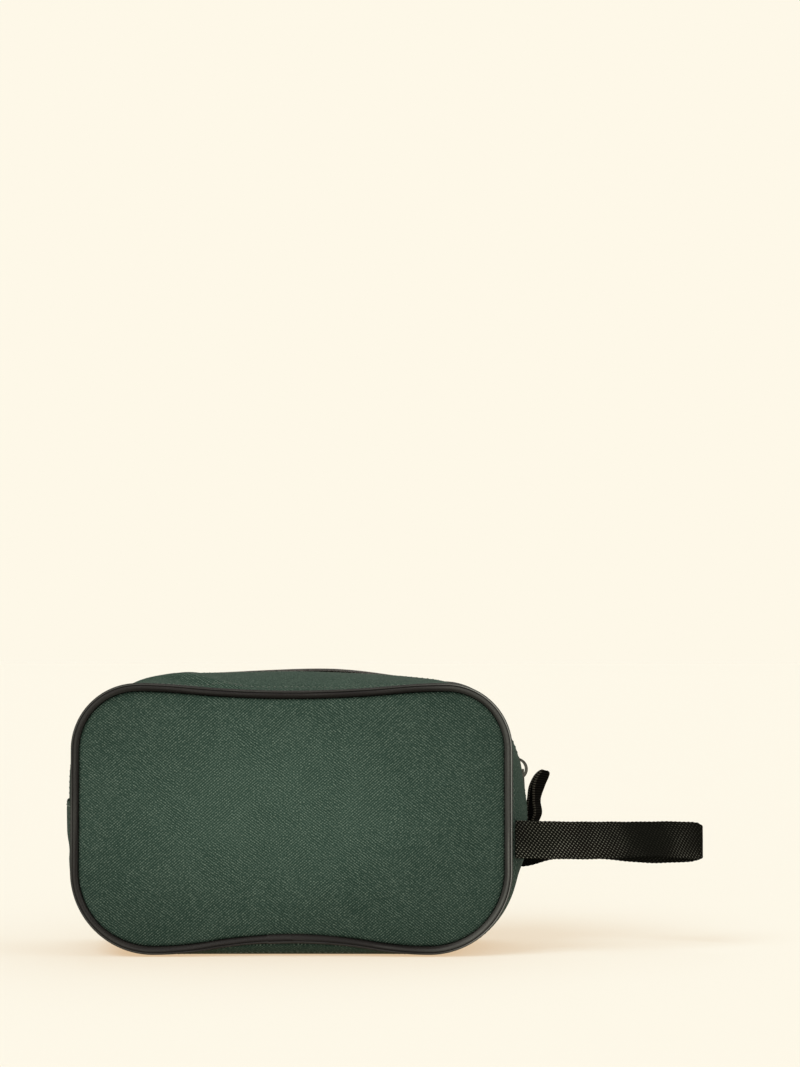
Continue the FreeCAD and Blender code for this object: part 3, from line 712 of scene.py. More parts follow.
def lining_cloth():
    """Thin plain-woven lining with a light coating."""
    made = Finish("lining_cloth", Roughness=0.55)
    cloth = made.cloth()
    weave = made.times(made.ridges(cloth, 1, 0, 0.6), made.ridges(cloth, 0, 1, 0.6))
    cloudy = made.noise(cloth, 0.06, 3.0)
    tone = made.times(cloudy, 0.6, made.times(weave, 0.4))
    made.ramp(tone, (0.2, 0.018, 0.019, 0.018), (0.8, 0.055, 0.056, 0.052))
    return made.relief(weave, 0.05)


def piping_vinyl():
    """Black vinyl with painted highlights on its sides, on the ridge between its grooves and on its bead,
    painted shade in its grooves, and a fine grain along it.
    """
    made = Finish("piping_vinyl", Roughness=0.5, Specular_IOR_Level=0.11)
    cloth = made.cloth()
    grain = made.noise(cloth, 1.6, 3.0, stretch=(0.45, 1.6, 1.0))
    streaks = made.noise(cloth, 0.5, stretch=(0.05, 1.2, 1.0))
    around = made.part(cloth, "Y")
    tone_gain = made.part(cloth, "Z")
    tone = made.times(streaks, 0.45, made.times(grain, 0.15))
    # painted highlight: paler on the cover's sides, most on the right
    tone = made.times(tone_gain, 0.40, tone)
    clear = made.times(tone_gain, 0.75, 0.35)
    # painted shade darkens the grooves and painted highlights pale the ridge and bead, more so on the sides
    for angle, amount, width in PIPING_LINES:
        place = PIPING_RADIUS * math.radians(angle - PIPING_SPLIT)
        away = made.math("ABSOLUTE", made.math("SUBTRACT", around, place))
        line = made.math("SUBTRACT", 1.0, made.ramp_share(away, 0.0, width))
        tone = made.times(made.times(line, clear), amount, tone)
    made.ramp(tone, (0.10, 0.001, 0.001, 0.001), (0.35, 0.0075, 0.0065, 0.006),
              (0.65, 0.034, 0.035, 0.032), (0.95, 0.125, 0.130, 0.120))
    made.rough(grain, 0.42, 0.62)
    return made.relief(grain, 0.09)


def cotton_cord():
    """Soft white cord inside the piping, with a slanted twist."""
    made = Finish("piping_cord", Roughness=0.9)
    place = made.place()
    twist = made.ridges(place, 2200, 2900)
    made.ramp(twist, (0.1, 0.36, 0.35, 0.32), (0.9, 0.62, 0.60, 0.56))
    return made.relief(twist, 0.15)


def woven_tape(name, pitch, dark, light):
    """Narrow black tape with ribs across it and a fine thread along it."""
    made = Finish(name, Roughness=0.8, Specular_IOR_Level=0.08)
    cloth = made.cloth()
    ribs = made.ridges(cloth, 1, 0, pitch)
    threads = made.ridges(cloth, 0.5, 1.5, pitch)
    weave = made.times(threads, 0.45, made.times(ribs, 0.55))
    cloudy = made.noise(cloth, 0.4, 3.0)
    tone = made.times(cloudy, 0.4, made.times(weave, 0.6))
    made.ramp(tone, (0.2, *dark), (0.85, *light))
    return made.relief(weave, 0.09)


def ribbon():
    """Black grosgrain ribbon with ribs across it and a raised, paler selvedge on each side."""
    made = Finish("ribbon", Roughness=0.85, Specular_IOR_Level=0.01)
    cloth = made.cloth()
    ribs = made.ridges(cloth, 1, 0, 1.3)
    across = made.math("ABSOLUTE", made.part(cloth, "Y"))
    selvedge = made.ramp_share(across, TAB_HALF_WIDTH - 1.9, TAB_HALF_WIDTH - 1.1)
    cloudy = made.noise(cloth, 0.4, 3.0)
    lit = made.times(ribs, made.times(selvedge, 0.60, 0.22))
    tone = made.times(cloudy, 0.15, lit)
    made.ramp(tone, (0.08, 0.0008, 0.0008, 0.0006), (0.35, 0.005, 0.0045, 0.0035),
              (0.95, 0.042, 0.039, 0.030))
    return made.relief(ribs, 0.2)


def webbing():
    """Twill-woven webbing: slanted ridges broken into short threads, paler on top in places."""
    made = Finish("webbing", Roughness=0.85, Specular_IOR_Level=0.01)
    cloth = made.cloth()
    slant = made.ridges(cloth, 0.60, 0.80, 1.35, 1.6)
    breaks = made.ridges(cloth, 0.66, -0.46, 1.35, 1.2)
    weave = made.times(slant, made.times(breaks, 0.85, 0.15))
    strands = made.noise(cloth, 1.3, 3.0)
    worn = made.ramp_share(made.noise(cloth, 0.03), 0.44, 0.66)
    tone_gain = made.times(made.part(cloth, "Z"), 0.66, 0.18)
    lit = made.times(weave, made.times(worn, 0.25, tone_gain))
    tone = made.times(strands, 0.16, made.times(lit, 0.95))
    made.ramp(tone, (0.06, 0.0016, 0.0017, 0.0012), (0.35, 0.009, 0.009, 0.007),
              (0.95, 0.125, 0.125, 0.102))
    return made.relief(weave, 0.3)


def slider_metal():
    """Dull plated zinc with cloudy tarnish and fine scratches."""
    made = Finish("slider_metal", Metallic=1.0, Roughness=0.38)
    place = made.place()
    cloudy = made.noise(place, 700, 3.0)
    scratches = made.noise(place, 1600, stretch=(1.0, 0.15, 1.0))
    made.ramp(cloudy, (0.35, 0.026, 0.025, 0.021), (0.7, 0.082, 0.080, 0.070))
    made.rough(cloudy, 0.3, 0.5)
    return made.relief(scratches, 0.02)


def coil_nylon():
    """Black nylon filament, a little glossy, with paler specks painted in as highlights."""
    made = Finish("coil_nylon", Roughness=0.3)
    speckle = made.noise(made.place(), 900)
    # the paler specks are painted highlights
    made.ramp(speckle, (0.3, 0.004, 0.003, 0.0025), (0.7, 0.040, 0.033, 0.025))
    made.rough(speckle, 0.2, 0.36)
    return made.material


def sewing_thread():
    """Twisted sewing thread."""
    made = Finish("green_thread", Roughness=0.7)
    twist = made.ridges(made.place(), 9000, 9000)
    made.ramp(twist, (0.1, 0.015, 0.026, 0.019), (0.9, 0.060, 0.084, 0.064))
    return made.relief(twist, 0.03)


GREEN = green_cloth()
LINING = lining_cloth()
VINYL = piping_vinyl()
CORD = cotton_cord()
TAPE = woven_tape("zip_tape", 0.9, (0.008, 0.008, 0.007), (0.034, 0.034, 0.030))
BINDING = woven_tape("binding_tape", 1.2, (0.008, 0.008, 0.008), (0.036, 0.036, 0.034))
RIBBON = ribbon()
WEBBING = webbing()
METAL = slider_metal()
NYLON = coil_nylon()
THREAD = sewing_thread()


# ---- panels ----

# Waves in the cloth are sums of sines. Their heights, and the lengths that x, depth and z are divided
# by, are in millimetres. The numbers that are added only shift them.


def inside_seam(lengths, inset):
    """Points (x, z) this far inside the seam, at lengths along it."""
    x, z, nx, nz = SEAM.points(lengths).T
    return joined(x - nx * inset, z - nz * inset)


def panel_sides(inset, across, upward):
    """The panel's outline as four sides that meet in the middles of the corner arcs."""
    lengths = [piece_.length for piece_ in SEAM.pieces]
    top = sum(lengths[:2]) + lengths[2] / 2
    low = sum(lengths[:4]) + lengths[4] / 2

    def line(start, end, count):
        return inside_seam(np.linspace(start, end, count), inset)

    right = line(top, low, upward)[::-1]
    return line(-top, top, across), line(2 * SEAM.length - low, low, across), right * (-1, 1), right


def panel_grid(inset, across, upward):
    """Even grid of (x, z) inside the panel's outline, from its four sides."""
    top, bottom, left, right = panel_sides(inset, across, upward)
    u = np.linspace(0, 1, across)[None, :, None]
    v = np.linspace(0, 1, upward)[:, None, None]
    ruled = (1 - v) * bottom[None] + v * top[None] + (1 - u) * left[:, None] + u * right[:, None]
    corners = (1 - u) * (1 - v) * bottom[0] + u * (1 - v) * bottom[-1]
    corners = corners + (1 - u) * v * top[0] + u * v * top[-1]
    return ruled - corners


def edge_distance(grid, inset):
    """Distance of each grid point from the panel's edge, and the length along the seam beside it."""
    lengths = np.linspace(-SEAM.length, SEAM.length, 1200, endpoint=False)
    edge = inside_seam(lengths, inset)
    flat = grid.reshape(-1, 2)
    distance = np.empty(len(flat))
    beside = np.empty(len(flat))
    for start in range(0, len(flat), 4000):
        part = flat[start:start + 4000]
        gaps = np.linalg.norm(part[:, None] - edge[None], axis=-1)
        nearest = gaps.argmin(1)
        distance[start:start + 4000] = gaps[np.arange(len(part)), nearest]
        beside[start:start + 4000] = lengths[nearest]
    return distance.reshape(grid.shape[:2]), beside.reshape(grid.shape[:2])


def crown(x, z):
    """How far the panel stands out from its edge."""
    across = 1 - np.minimum(1.0, np.abs(x) / PANEL_CROWN_HALF_X) ** 3
    upward = 1 - np.minimum(1.0, np.abs(z - PANEL_MID_Z) / PANEL_CROWN_HALF_Z) ** 3
    return PANEL_CROWN * across * upward


def panel_relief(x, z, distance, beside):
    """Soft waves of the cloth, small puckers along the seam and the rolled edge."""
    waves = 0.70 * np.sin(x / 21 + 0.6 * np.sin(z / 17)) * np.sin(z / 26 + 0.5)
    waves += 0.45 * np.sin(x / 11 - z / 19 + 1.3) * np.sin(z / 33 + x / 47)
    pucker = np.sin(beside / 1.9 + 1.3 * np.sin(beside / 13)) * (0.5 + 0.5 * np.sin(beside / 31 + 0.7))
    pucker = 0.16 * pucker * np.exp(-distance / 6.0)
    roll = quarter_round(distance / 1.8) - 1
    return waves * smooth(distance / 25) + pucker * smooth(distance / 2) + 1.1 * roll


def panel_layer(name, grid, outer_y, inner_y, material, cloth):
    outer, inner = (joined(grid[..., 0], y, grid[..., 1]) for y in (outer_y, inner_y))
    return sheet(name, outer, inner, material, cloth)


def panel(name, side):
    """Crowned cloth panel inside one seam, with painted sheen that makes it paler left of its middle and
    darker towards its edges.
    """
    grid = panel_grid(PANEL_INSET, 230, 140)
    x, z = grid[..., 0], grid[..., 1]
    distance, beside = edge_distance(grid, PANEL_INSET)
    out = PANEL_EDGE_Y + crown(x, z) + panel_relief(x, z, distance, beside)
    # painted sheen, brightest left of the middle and fading to painted shade at the edges
    tone_lift = bump(x, *PANEL_SHEEN_X) * bump(z, *PANEL_SHEEN_Z)
    cloth = np.concatenate([grid, tone_lift[..., None]], -1)
    return panel_layer(name, grid, side * out, side * (out - FABRIC_THICK), GREEN, cloth)


def panel_lining(name, side):
    grid = panel_grid(LINING_INSET, 90, 60)
    x, z = grid[..., 0], grid[..., 1]
    ripple = 0.12 * np.sin(x / 7 + np.sin(z / 9)) * np.sin(z / 8 + 0.4)
    out = PANEL_EDGE_Y + crown(x, z) - FABRIC_THICK - 4 * LAYER_GAP - np.abs(ripple)
    return panel_layer(name, grid, side * out, side * (out - LINING_THICK), LINING, grid)


# ---- piping and bindings, carried round the seam ----

def carried(profile, side, count=900, swell=None):
    """Rows of a closed (outward, y) profile carried round one seam."""
    lengths = np.linspace(-SEAM.length, SEAM.length, count, endpoint=False)
    x, z, nx, nz = (column[:, None] for column in SEAM.points(lengths).T)
    grow = np.ones((count, 1)) if swell is None else swell(lengths)[:, None]
    outward, depth = profile[:, 0] * grow, profile[:, 1] * grow
    rows = joined(x + nx * outward, side * (SEAM_Y - depth), z + nz * outward)
    return rows, on_grid(lengths, lengths_along(profile))


def tail_point(along, across):
    """A place beside the piping's tail, which runs inward and back at 45 degrees."""
    half = math.sqrt(0.5)
    return -half * along + half * across, half * along + half * across


def piping_profile():
    """Round cover with two grooves on its outer shoulder, and the flat tail that is sewn in."""
    tail_half = FLANGE_THICK / 2
    gap = math.degrees(math.asin(tail_half / PIPING_RADIUS))
    angles = np.radians(np.linspace(135 + gap, 495 - gap, 84))
    radius = np.full(len(angles), PIPING_RADIUS)
    for groove, depth, width in PIPING_GROOVES:
        radius -= depth * bump(np.degrees(angles), groove, width)
    ring = joined(radius * np.cos(angles), radius * np.sin(angles))
    above = [tail_point(along, tail_half) for along in (5.0, 8.0, FLANGE_LENGTH)]
    below = [tail_point(along, -tail_half) for along in (FLANGE_LENGTH, 8.0, 5.0)]
    return np.concatenate([ring, above, below])


def piping_join(lengths):
    """How much thicker the cover is where its end laps over its start: a step that fades out."""
    past_join = np.where(lengths > 0, SEAM.length - lengths, -lengths - SEAM.length) + JOIN_X
    fade = 1 - smooth((past_join - JOIN_FLAT) / JOIN_LENGTH)
    return 1 + JOIN_STEP * smooth(past_join / JOIN_EDGE) * fade


def piping(name, side):
    profile = piping_profile()
    rows, cloth = carried(profile, side, swell=piping_join)
    x = rows[..., 0]
    # painted highlights on the cover's sides, stronger on the right
    tone_lift = 0.0
    for amount, start, reach, way in ((*SIDE_HIGHLIGHT, np.abs(x)), (*RIGHT_HIGHLIGHT, x)):
        tone_lift = tone_lift + amount * smooth((way - start) / reach)
    cloth = np.concatenate([cloth, tone_lift[..., None]], -1)
    return sweep(name, rows, VINYL, closed=True, cloth=cloth, sharp=60)


def binding(name, side):
    """Folded tape over the raw edge of the seam inside the bag."""
    inner = FLANGE_THICK / 2 + BINDING_GAP
    outer = inner + BINDING_THICK
    end = FLANGE_LENGTH + BINDING_GAP
    marks = [
        (BINDING_START, -outer), (8.6, -outer - 0.1), (end, -outer), (end + 0.6 * BINDING_THICK, -inner),
        (end + 0.6 * BINDING_THICK, inner), (end, outer), (8.6, outer + 0.1), (BINDING_START, outer),
        (BINDING_START, inner), (end, inner), (end, -inner), (BINDING_START, -inner),
    ]
    profile = np.array([tail_point(along, across) for along, across in marks])
    rows, cloth = carried(profile, side, count=500)
    return sweep(name, rows, BINDING, closed=True, cloth=cloth)


# ---- gusset, zip strips and zip ----

LEFT_END = -side_place(STRIP_END_LEFT_Z)
RIGHT_END = side_place(STRIP_END_RIGHT_Z)
LAP_LEFT = FULL_LOOP - side_place(LAP_TOP_LEFT_Z)
LAP_RIGHT = side_place(LAP_TOP_RIGHT_Z)


def strip_relief(places, depths):
    """Soft waves in the strips, a slack fold near the top left corner and dents under the stitches."""
    points = fabric_points(places, np.abs(depths), 0)
    x, depth = points[..., 0], np.abs(depths)[None, :]
    waves = 0.28 * np.sin(x / 13 + 0.8 * np.sin(depth / 7)) * np.sin(depth / 9 + 0.4)
    waves += 0.16 * np.sin(x / 6.5 + depth / 5)
    fold_x, fold_y = x - SLACK_X, depth - SLACK_Y
    away = fold_x * SLACK_WAY[1] - fold_y * SLACK_WAY[0]
    run = fold_x * SLACK_WAY[0] + fold_y * SLACK_WAY[1]
    fold = SLACK_HEIGHT * smooth(1 - away / 5.0) * smooth((away + 6) / 6) * bump(run, 0, SLACK_REACH)
    fade = smooth((GUSSET_EDGE_Y + EDGE_MARGIN - depth) / 4) * smooth((depth - 5.5) / 5)
    dents = -FOLD_STITCH_DENT * bump(depth, FOLD_STITCH_Y, 0.7)
    dents = dents - SEAM_STITCH_DENT * bump(depth, STITCH_Y, 0.8)
    return (waves + fold) * fade + dents


def gusset_layer(name, places, depths, top, under, material):
    return sheet(name, fabric_points(places, depths, top), fabric_points(places, depths, under), material)


def zip_strip(name, side):
    """Green strip between one seam and the coil, with its edge folded under beside the coil."""
    half = FABRIC_THICK / 2
    body = np.linspace(GUSSET_EDGE_Y, STRIP_EDGE_Y + half, 42)
    fold = np.radians((22, 45, 66, 82))
    depths = np.concatenate([body, STRIP_EDGE_Y + half - half * np.sin(fold)])
    drop = np.concatenate([np.zeros(len(body)), half * (1 - np.cos(fold))])
    places = np.linspace(LEFT_END, RIGHT_END, 460)
    relief = strip_relief(places, depths)
    return gusset_layer(name, places, side * depths, -drop + relief, -FABRIC_THICK + drop + relief, GREEN)


def zip_tape(name, side):
    places = np.linspace(LEFT_END, RIGHT_END, 300)
    depths = np.linspace(TAPE_OUTER_Y, 0.7, 18)
    outer = tape_points(places, side * depths, 0)
    inner = tape_points(places, side * depths, TAPE_THICK)
    return sheet(name, outer, inner, TAPE)


def coil_tooth():
    """One turn of the coil: (across, outward, along) points of its filament, from the back over the head."""
    return np.array([
        (3.05, -1.15, -0.10), (2.75, -0.55, -0.05), (2.0, -0.38, 0.0), (1.0, -0.38, 0.0), (0.42, -0.50, 0.0),
        (0.12, -1.10, 0.0), (0.42, -1.72, 0.0), (1.0, -1.82, 0.05), (2.0, -1.82, 0.25), (2.75, -1.65, 0.50),
        (3.05, -1.15, 0.52),
    ])


def zip_coil(name, side):
    """Coil turns along one tape, with thicker heads and half a pitch out of step with the other row."""
    chain_start = -np.interp(-LEFT_END, range(4), KNOTS[CHAIN])
    chain_end = np.interp(RIGHT_END, range(4), KNOTS[CHAIN])
    start = chain_start + COIL_MARGIN + (side > 0) * COIL_PITCH / 2
    lengths = np.arange(start, chain_end - COIL_MARGIN, COIL_PITCH)
    tooth = coil_tooth()
    forward = unit(np.gradient(tooth, axis=0))
    sideways = np.array([0.0, 0.0, 1.0])
    raised = unit(np.cross(forward, sideways))
    ring = np.cos(ROUND)[None, :, None] * raised[:, None] + np.sin(ROUND)[None, :, None] * sideways
    head = np.where(tooth[:, 0] < COIL_HEAD_Y, COIL_HEAD, 1.0)[:, None, None]
    local = tooth[:, None] + COIL_WIRE * ring * head
    x, z, nx, nz = (part[:, None, None] for part in slackened(CHAIN, CHAIN.points(lengths)).T)
    across, outward, along = local[None, ..., 0], local[None, ..., 1], local[None, ..., 2]
    rows = joined(x + nx * outward + nz * along, side * across, z + nz * outward - nx * along)
    return tubes(name, rows, NYLON)


def lap_lift(places):
    """The base gusset stands out by one layer where it covers the zip strips."""
    height = follow(FABRIC, places)[:, 1]
    end = np.where(np.asarray(places) < BOTTOM_MIDDLE, STRIP_END_RIGHT_Z, STRIP_END_LEFT_Z)
    return LAP_LIFT * smooth((height - end + 1 + LAP_RAMP) / LAP_RAMP)


def base_relief(places, depths):
    """Soft waves of the base cloth, none where it is pressed flat under the bag."""
    x, _, z = np.moveaxis(fabric_points(places, depths, 0), -1, 0)
    across = np.abs(depths)
    waves = 0.30 * np.sin(z / 11 + 0.7 * np.sin(depths / 8)) * np.sin(depths / 11 + 0.9)
    waves += 0.22 * np.sin(x / 14 + depths / 9)
    fade = smooth((GUSSET_EDGE_Y + EDGE_MARGIN - across) / 5)
    dents = -BASE_STITCH_DENT * bump(across, STITCH_Y, 0.8)
    return waves * fade * smooth(z / 14) + dents * smooth(z / 4)


def base_gusset(name):
    """Cloth band from the lap on the right side, under the bag, to the lap on the left side."""
    turned = np.concatenate([
        np.linspace(0, 1, 6)[:-1] * LAP_END_SHARE,
        np.linspace(LAP_END_SHARE, 1 - LAP_END_SHARE, 420),
        1 - np.linspace(1, 0, 6)[1:] * LAP_END_SHARE,
    ])
    places = LAP_RIGHT + (LAP_LEFT - LAP_RIGHT) * turned
    depths = np.linspace(-GUSSET_EDGE_Y, GUSSET_EDGE_Y, 81)
    ends = np.minimum(turned, 1 - turned) / LAP_END_SHARE
    round_off = FABRIC_THICK / 2 * (1 - quarter_round(ends)) * LAP_END_ROUND
    lift = lap_lift(places)[:, None] + base_relief(places, depths)
    height = follow(FABRIC, places)[:, 1]
    top = np.where(places < BOTTOM_MIDDLE, LAP_TOP_RIGHT_Z, LAP_TOP_LEFT_Z)
    lift -= LAP_STITCH_DENT * bump(height, top - LAP_STITCH_DROP, 0.8)[:, None]
    outer = fabric_points(places, depths, lift - round_off[:, None])
    inner = fabric_points(places, depths, lift - FABRIC_THICK + round_off[:, None])
    outer[..., 2] = np.maximum(outer[..., 2], FLOOR_GAP)
    return sheet(name, outer, inner, GREEN)


def gusset_lining(name):
    right, left = (side_place(z - LINING_DROP) for z in (STRIP_END_RIGHT_Z, STRIP_END_LEFT_Z))
    places = np.linspace(right, FULL_LOOP - left, 160)
    depths = np.linspace(-LINING_EDGE_Y, LINING_EDGE_Y, 41)
    top = -FABRIC_THICK - 2.5 * LAYER_GAP
    return gusset_layer(name, places, depths, top, top - LINING_THICK, LINING)


# ---- stitches ----

def stitches(name, line, out):
    """Row of even stitches along a dense line: each thread is an arch that dips into the cloth."""
    along = lengths_along(line)
    begins = np.arange(STITCH_PITCH / 2, along[-1] - STITCH_PITCH, STITCH_PITCH)

    def at(values, lengths):
        return np.stack([np.interp(lengths, along, values[:, i]) for i in range(3)], -1)

    run = STITCH_PITCH * STITCH_SHARE
    normals = unit(at(out, begins + run / 2))[:, None]
    starts = at(line, begins)[:, None]
    forward = at(line, begins + run)[:, None] - starts
    beside = unit(np.cross(unit(forward), normals))[:, None]
    steps = np.linspace(0, 1, 6)[:, None]
    arch = np.sin(steps * math.pi)
    middle = starts + forward * steps
    middle = middle + normals * (arch * (STITCH_RADIUS + STITCH_SINK) - STITCH_SINK)
    slim = (0.55 + 0.45 * arch)[..., None]
    ring = np.cos(ROUND)[:, None] * beside + np.sin(ROUND)[:, None] * normals[:, None]
    return tubes(name, middle[:, :, None] + STITCH_RADIUS * slim * ring, THREAD)


def strip_line(depth, side):
    """Line on a zip strip's outer face at a depth, and its outward direction."""
    places = np.linspace(LEFT_END + STITCH_MARGIN, RIGHT_END - STITCH_MARGIN, 700)
    depths = np.array([depth])
    relief = strip_relief(places, depths)
    line = fabric_points(places, side * depths, relief)[:, 0]
    above = fabric_points(places, side * depths, relief + 1)[:, 0]
    return line, above - line


def base_line(places, depths, dent=0.0):
    """Line on the base gusset's outer face, and its outward direction."""
    line, above = [], []
    for place, depth, up in zip(places[:, None], depths[:, None], lap_lift(places)):
        lift = up + base_relief(place, depth) - dent
        line.append(fabric_points(place, depth, lift)[0, 0])
        above.append(fabric_points(place, depth, lift + 1)[0, 0])
    return np.array(line), np.array(above) - line


# ---- strap and tab ----

def strap_line(count):
    """Plan of the strap from its front root round the fold to its rear root."""
    start = np.array([STRAP_START_X, -STRAP_START_Y])
    end = np.array([STRAP_TIP_X - STRAP_FOLD_RADIUS - STRAP_THICK / 2, -STRAP_FOLD_RADIUS])
    chord = end - start
    size = np.linalg.norm(chord)
    left = np.array([chord[1], -chord[0]]) / size
    radius = (size ** 2 / 4 + STRAP_BOW ** 2) / (2 * STRAP_BOW)
    centre = (start + end) / 2 - left * (radius - STRAP_BOW)
    first = math.atan2(*(start - centre)[::-1])
    last = math.atan2(*(end - centre)[::-1])
    angles = np.linspace(first, last, count)
    front = centre + radius * joined(np.cos(angles), np.sin(angles))
    fold = np.linspace(-math.pi / 2, math.pi / 2, 36)[1:-1]
    tip = joined(end[0] + STRAP_FOLD_RADIUS * np.cos(fold), STRAP_FOLD_RADIUS * np.sin(fold))
    return np.concatenate([front, tip, front[::-1] * (1, -1)])


def band_profile(inner, half, rim, face, edge):
    """Section of a band, by its flat points, half width, edge radius, face height and edge angles."""
    right = joined(half - rim + rim * np.cos(edge), rim * np.sin(edge))
    under = joined(inner, -face)
    return np.concatenate([under, right, under[::-1] * (1, -1), -right])


def strap_shape(share):
    """Height shift in mm and tilt in degrees at a share of the way. run is 0 at a root and 1 at the tip."""
    front = share < 0.5
    run = np.where(front, share * 2, (1 - share) * 2)
    tip = smooth((run - 0.93) / 0.07)
    front_lift = 0.1 + 1.3 * bump(run, 0.72, 0.26)
    rear_lift = -0.4 - 5.0 * (1 - run) - 5.5 * bump(run, 0.06, 0.13) - 2.1 * bump(run, 0.72, 0.22)
    front_tilt = 24 * bump(run, 0.66, 0.24)
    rear_tilt = -16 * bump(run, 0.05, 0.16) + 4 * bump(run, 0.45, 0.2)
    lift = np.where(front, front_lift, rear_lift)
    tilt = np.where(front, front_tilt, rear_tilt)
    return lift * (1 - tip), tilt * (1 - tip)


def strap(name):
    """Webbing loop with thick woven edges, a little twisted and creased."""
    plan = strap_line(150)
    along = lengths_along(plan)
    share = along / along[-1]
    out = right_of(plan)
    lift, tilt = strap_shape(share)
    drop = (plan[:, 0] - STRAP_START_X) * math.tan(math.radians(STRAP_DROOP))
    centre = joined(plan[:, 0], plan[:, 1], STRAP_Z - drop + lift)
    lean = np.radians(tilt)
    wide = joined(-out[:, 0] * np.sin(lean), -out[:, 1] * np.sin(lean), np.cos(lean))
    thick = joined(out[:, 0] * np.cos(lean), out[:, 1] * np.cos(lean), np.sin(lean))
    half, rim = STRAP_WIDTH / 2, STRAP_THICK / 2
    inner = np.linspace(-half, half, 25)[1:-1]
    profile = band_profile(inner, half, rim, rim * 0.9, np.radians(np.linspace(-90, 90, 7)))
    scallop = 1 + 0.012 * np.sin(along * 2 * math.pi / 2.6) + 0.006 * np.sin(along * 2 * math.pi / 17)
    crease = 0.28 * np.sin(along[:, None] / 5.5 + profile[:, 0] / 4.0) * bump(share, 0.25, 0.16)[:, None]
    crease = crease * smooth((half - np.abs(profile[:, 0])) / 4)
    corner = np.clip(plan[:, 0] - (STRAP_TIP_X - STRAP_CORNER), 0, STRAP_CORNER)
    corner = STRAP_CORNER - np.sqrt(STRAP_CORNER ** 2 - corner ** 2)
    scallop = scallop * (1 - corner * STRAP_CORNER_DEPTH / STRAP_CORNER / half)
    rows = centre[:, None] + wide[:, None] * profile[:, :1] * scallop[:, None, None]
    rows = rows + thick[:, None] * (profile[:, 1:] + crease[..., None])
    tone_lift = 0.15 + 0.85 * bump(share, 0.10, 0.13) + 0.35 * bump(share, 0.44, 0.05)
    return sweep(name, rows, WEBBING, cloth=on_grid(along, profile[:, 0], tone_lift), sharp=70)


def end_tab(name):
    """Ribbon folded into a slim loop, twisted towards its tip. level is 0 at the bend and 1 at the tip."""
    rise = np.linspace(0, 1, 30)
    half_gap = 0.65 + 0.9 * np.sin(rise * math.pi) ** 1.3
    second = half_gap + 1.9 * bump(rise, 0.32, 0.14)
    tip = np.radians(np.linspace(-80, 80, 9))[1:-1]
    side = TAB_LENGTH - TAB_TIP + TAB_ROOT
    up = np.concatenate([rise * side, side + TAB_TIP * np.cos(tip), rise[::-1] * side]) - TAB_ROOT
    line = joined(np.concatenate([-half_gap, 0.7 * np.sin(tip), second[::-1]]), up)
    normal = right_of(line)
    half, rim = TAB_HALF_WIDTH, TAB_THICK / 2
    inner = np.linspace(-half + rim, half - rim, 15)
    profile = band_profile(inner, half, rim, rim, np.radians(np.linspace(-90, 90, 5))[1:-1])
    selvedge = 0.22 * bump(np.abs(profile[:, 0]), half - 0.9, 0.5) * np.sign(profile[:, 1])
    level = line[:, 1] / TAB_LENGTH
    taper = 0.84 - 0.14 * bump(level, 0.44, 0.14) - 0.08 * smooth((level - 0.50) / 0.50)
    tip_share = np.clip((level - 0.84) / 0.16, 0, 1)
    taper -= 0.42 * (1 - np.sqrt(1 - tip_share ** 2))
    across = profile[None, :, 0] * taper[:, None]
    stand = profile[None, :, 1] + selvedge[None, :]
    x = line[:, None, 0] + normal[:, None, 0] * stand
    z = line[:, None, 1] + normal[:, None, 1] * stand
    high = np.clip(z / TAB_LENGTH, 0, 1)
    x = x - 0.10 * across ** 2 / half * np.sin(high * math.pi)
    turn = np.radians(27 + 23 * smooth(high * 1.4 - 0.3))
    px = x * np.cos(turn) + across * np.sin(turn)
    py = across * np.cos(turn) - x * np.sin(turn)
    lean = np.radians(4 + 11 * high ** 2)
    world_x = TAB_X - TAB_INWARD + px * np.cos(lean) + z * np.sin(lean)
    world_z = TAB_Z - px * np.sin(lean) + z * np.cos(lean)
    rows = joined(world_x, py, world_z)
    return sweep(name, rows, RIBBON, cloth=on_grid(lengths_along(line), profile[:, 0]), sharp=70)


# ---- put together ----

SIDES = (("front", -1), ("rear", 1))


def build_sides():
    for label, side in SIDES:
        for make, part, slot, node in (
            (panel, "_cloth_panel", "green_cloth", "_panel"),
            (panel_lining, "_panel_lining", "lining_cloth", "_lining"),
            (piping, "_piping", "piping_vinyl", "_piping_cover"),
            (binding, "_binding", "binding_tape", "_seam_binding"),
        ):
            on_bag(make(label + part, side), slot, label + node)
        for make, layer, slot, more in (
            (zip_strip, "strip", "green_cloth", ["_lip_sewn_edge"]),
            (zip_tape, "tape", "zip_tape", []),
            (zip_coil, "coil", "zip_coil", []),
        ):
            whole = "_zip_" + layer
            nodes = [label + node for node in (whole + "_left", "_lip_" + layer, whole + "_right", *more)]
            follow_lip(make(label + whole, side), slot, side, *nodes)


def build_stitches():
    for label, side in SIDES:
        for row, depth in (("_fold_stitches", FOLD_STITCH_Y), ("_seam_stitches", STITCH_Y)):
            follow_lip(stitches(label + row, *strip_line(depth, side)), "green_cloth", side)
        places = np.linspace(LAP_RIGHT + STITCH_MARGIN, LAP_LEFT - STITCH_MARGIN, 900)
        line, out = base_line(places, np.full(900, side * STITCH_Y))
        line = line - SOLE_STITCH_SINK * out * (1 - smooth(line[:, 2:] / SOLE_STITCH_Z))
        on_bag(stitches(label + "_base_stitches", line, out), "green_cloth")
    right = side_place(LAP_TOP_RIGHT_Z - LAP_STITCH_DROP)
    left = FULL_LOOP - side_place(LAP_TOP_LEFT_Z - LAP_STITCH_DROP)
    for name, place in (("right_lap_stitches", right), ("left_lap_stitches", left)):
        line, out = base_line(np.full(160, place), np.linspace(-34, 34, 160), LAP_STITCH_DENT)
        on_bag(stitches(name, line, out), "green_cloth")


def build_base():
    on_bag(base_gusset("base_gusset_cloth"), "green_cloth", "base_gusset")
    on_bag(gusset_lining("base_lining"), "lining_cloth", "gusset_lining")


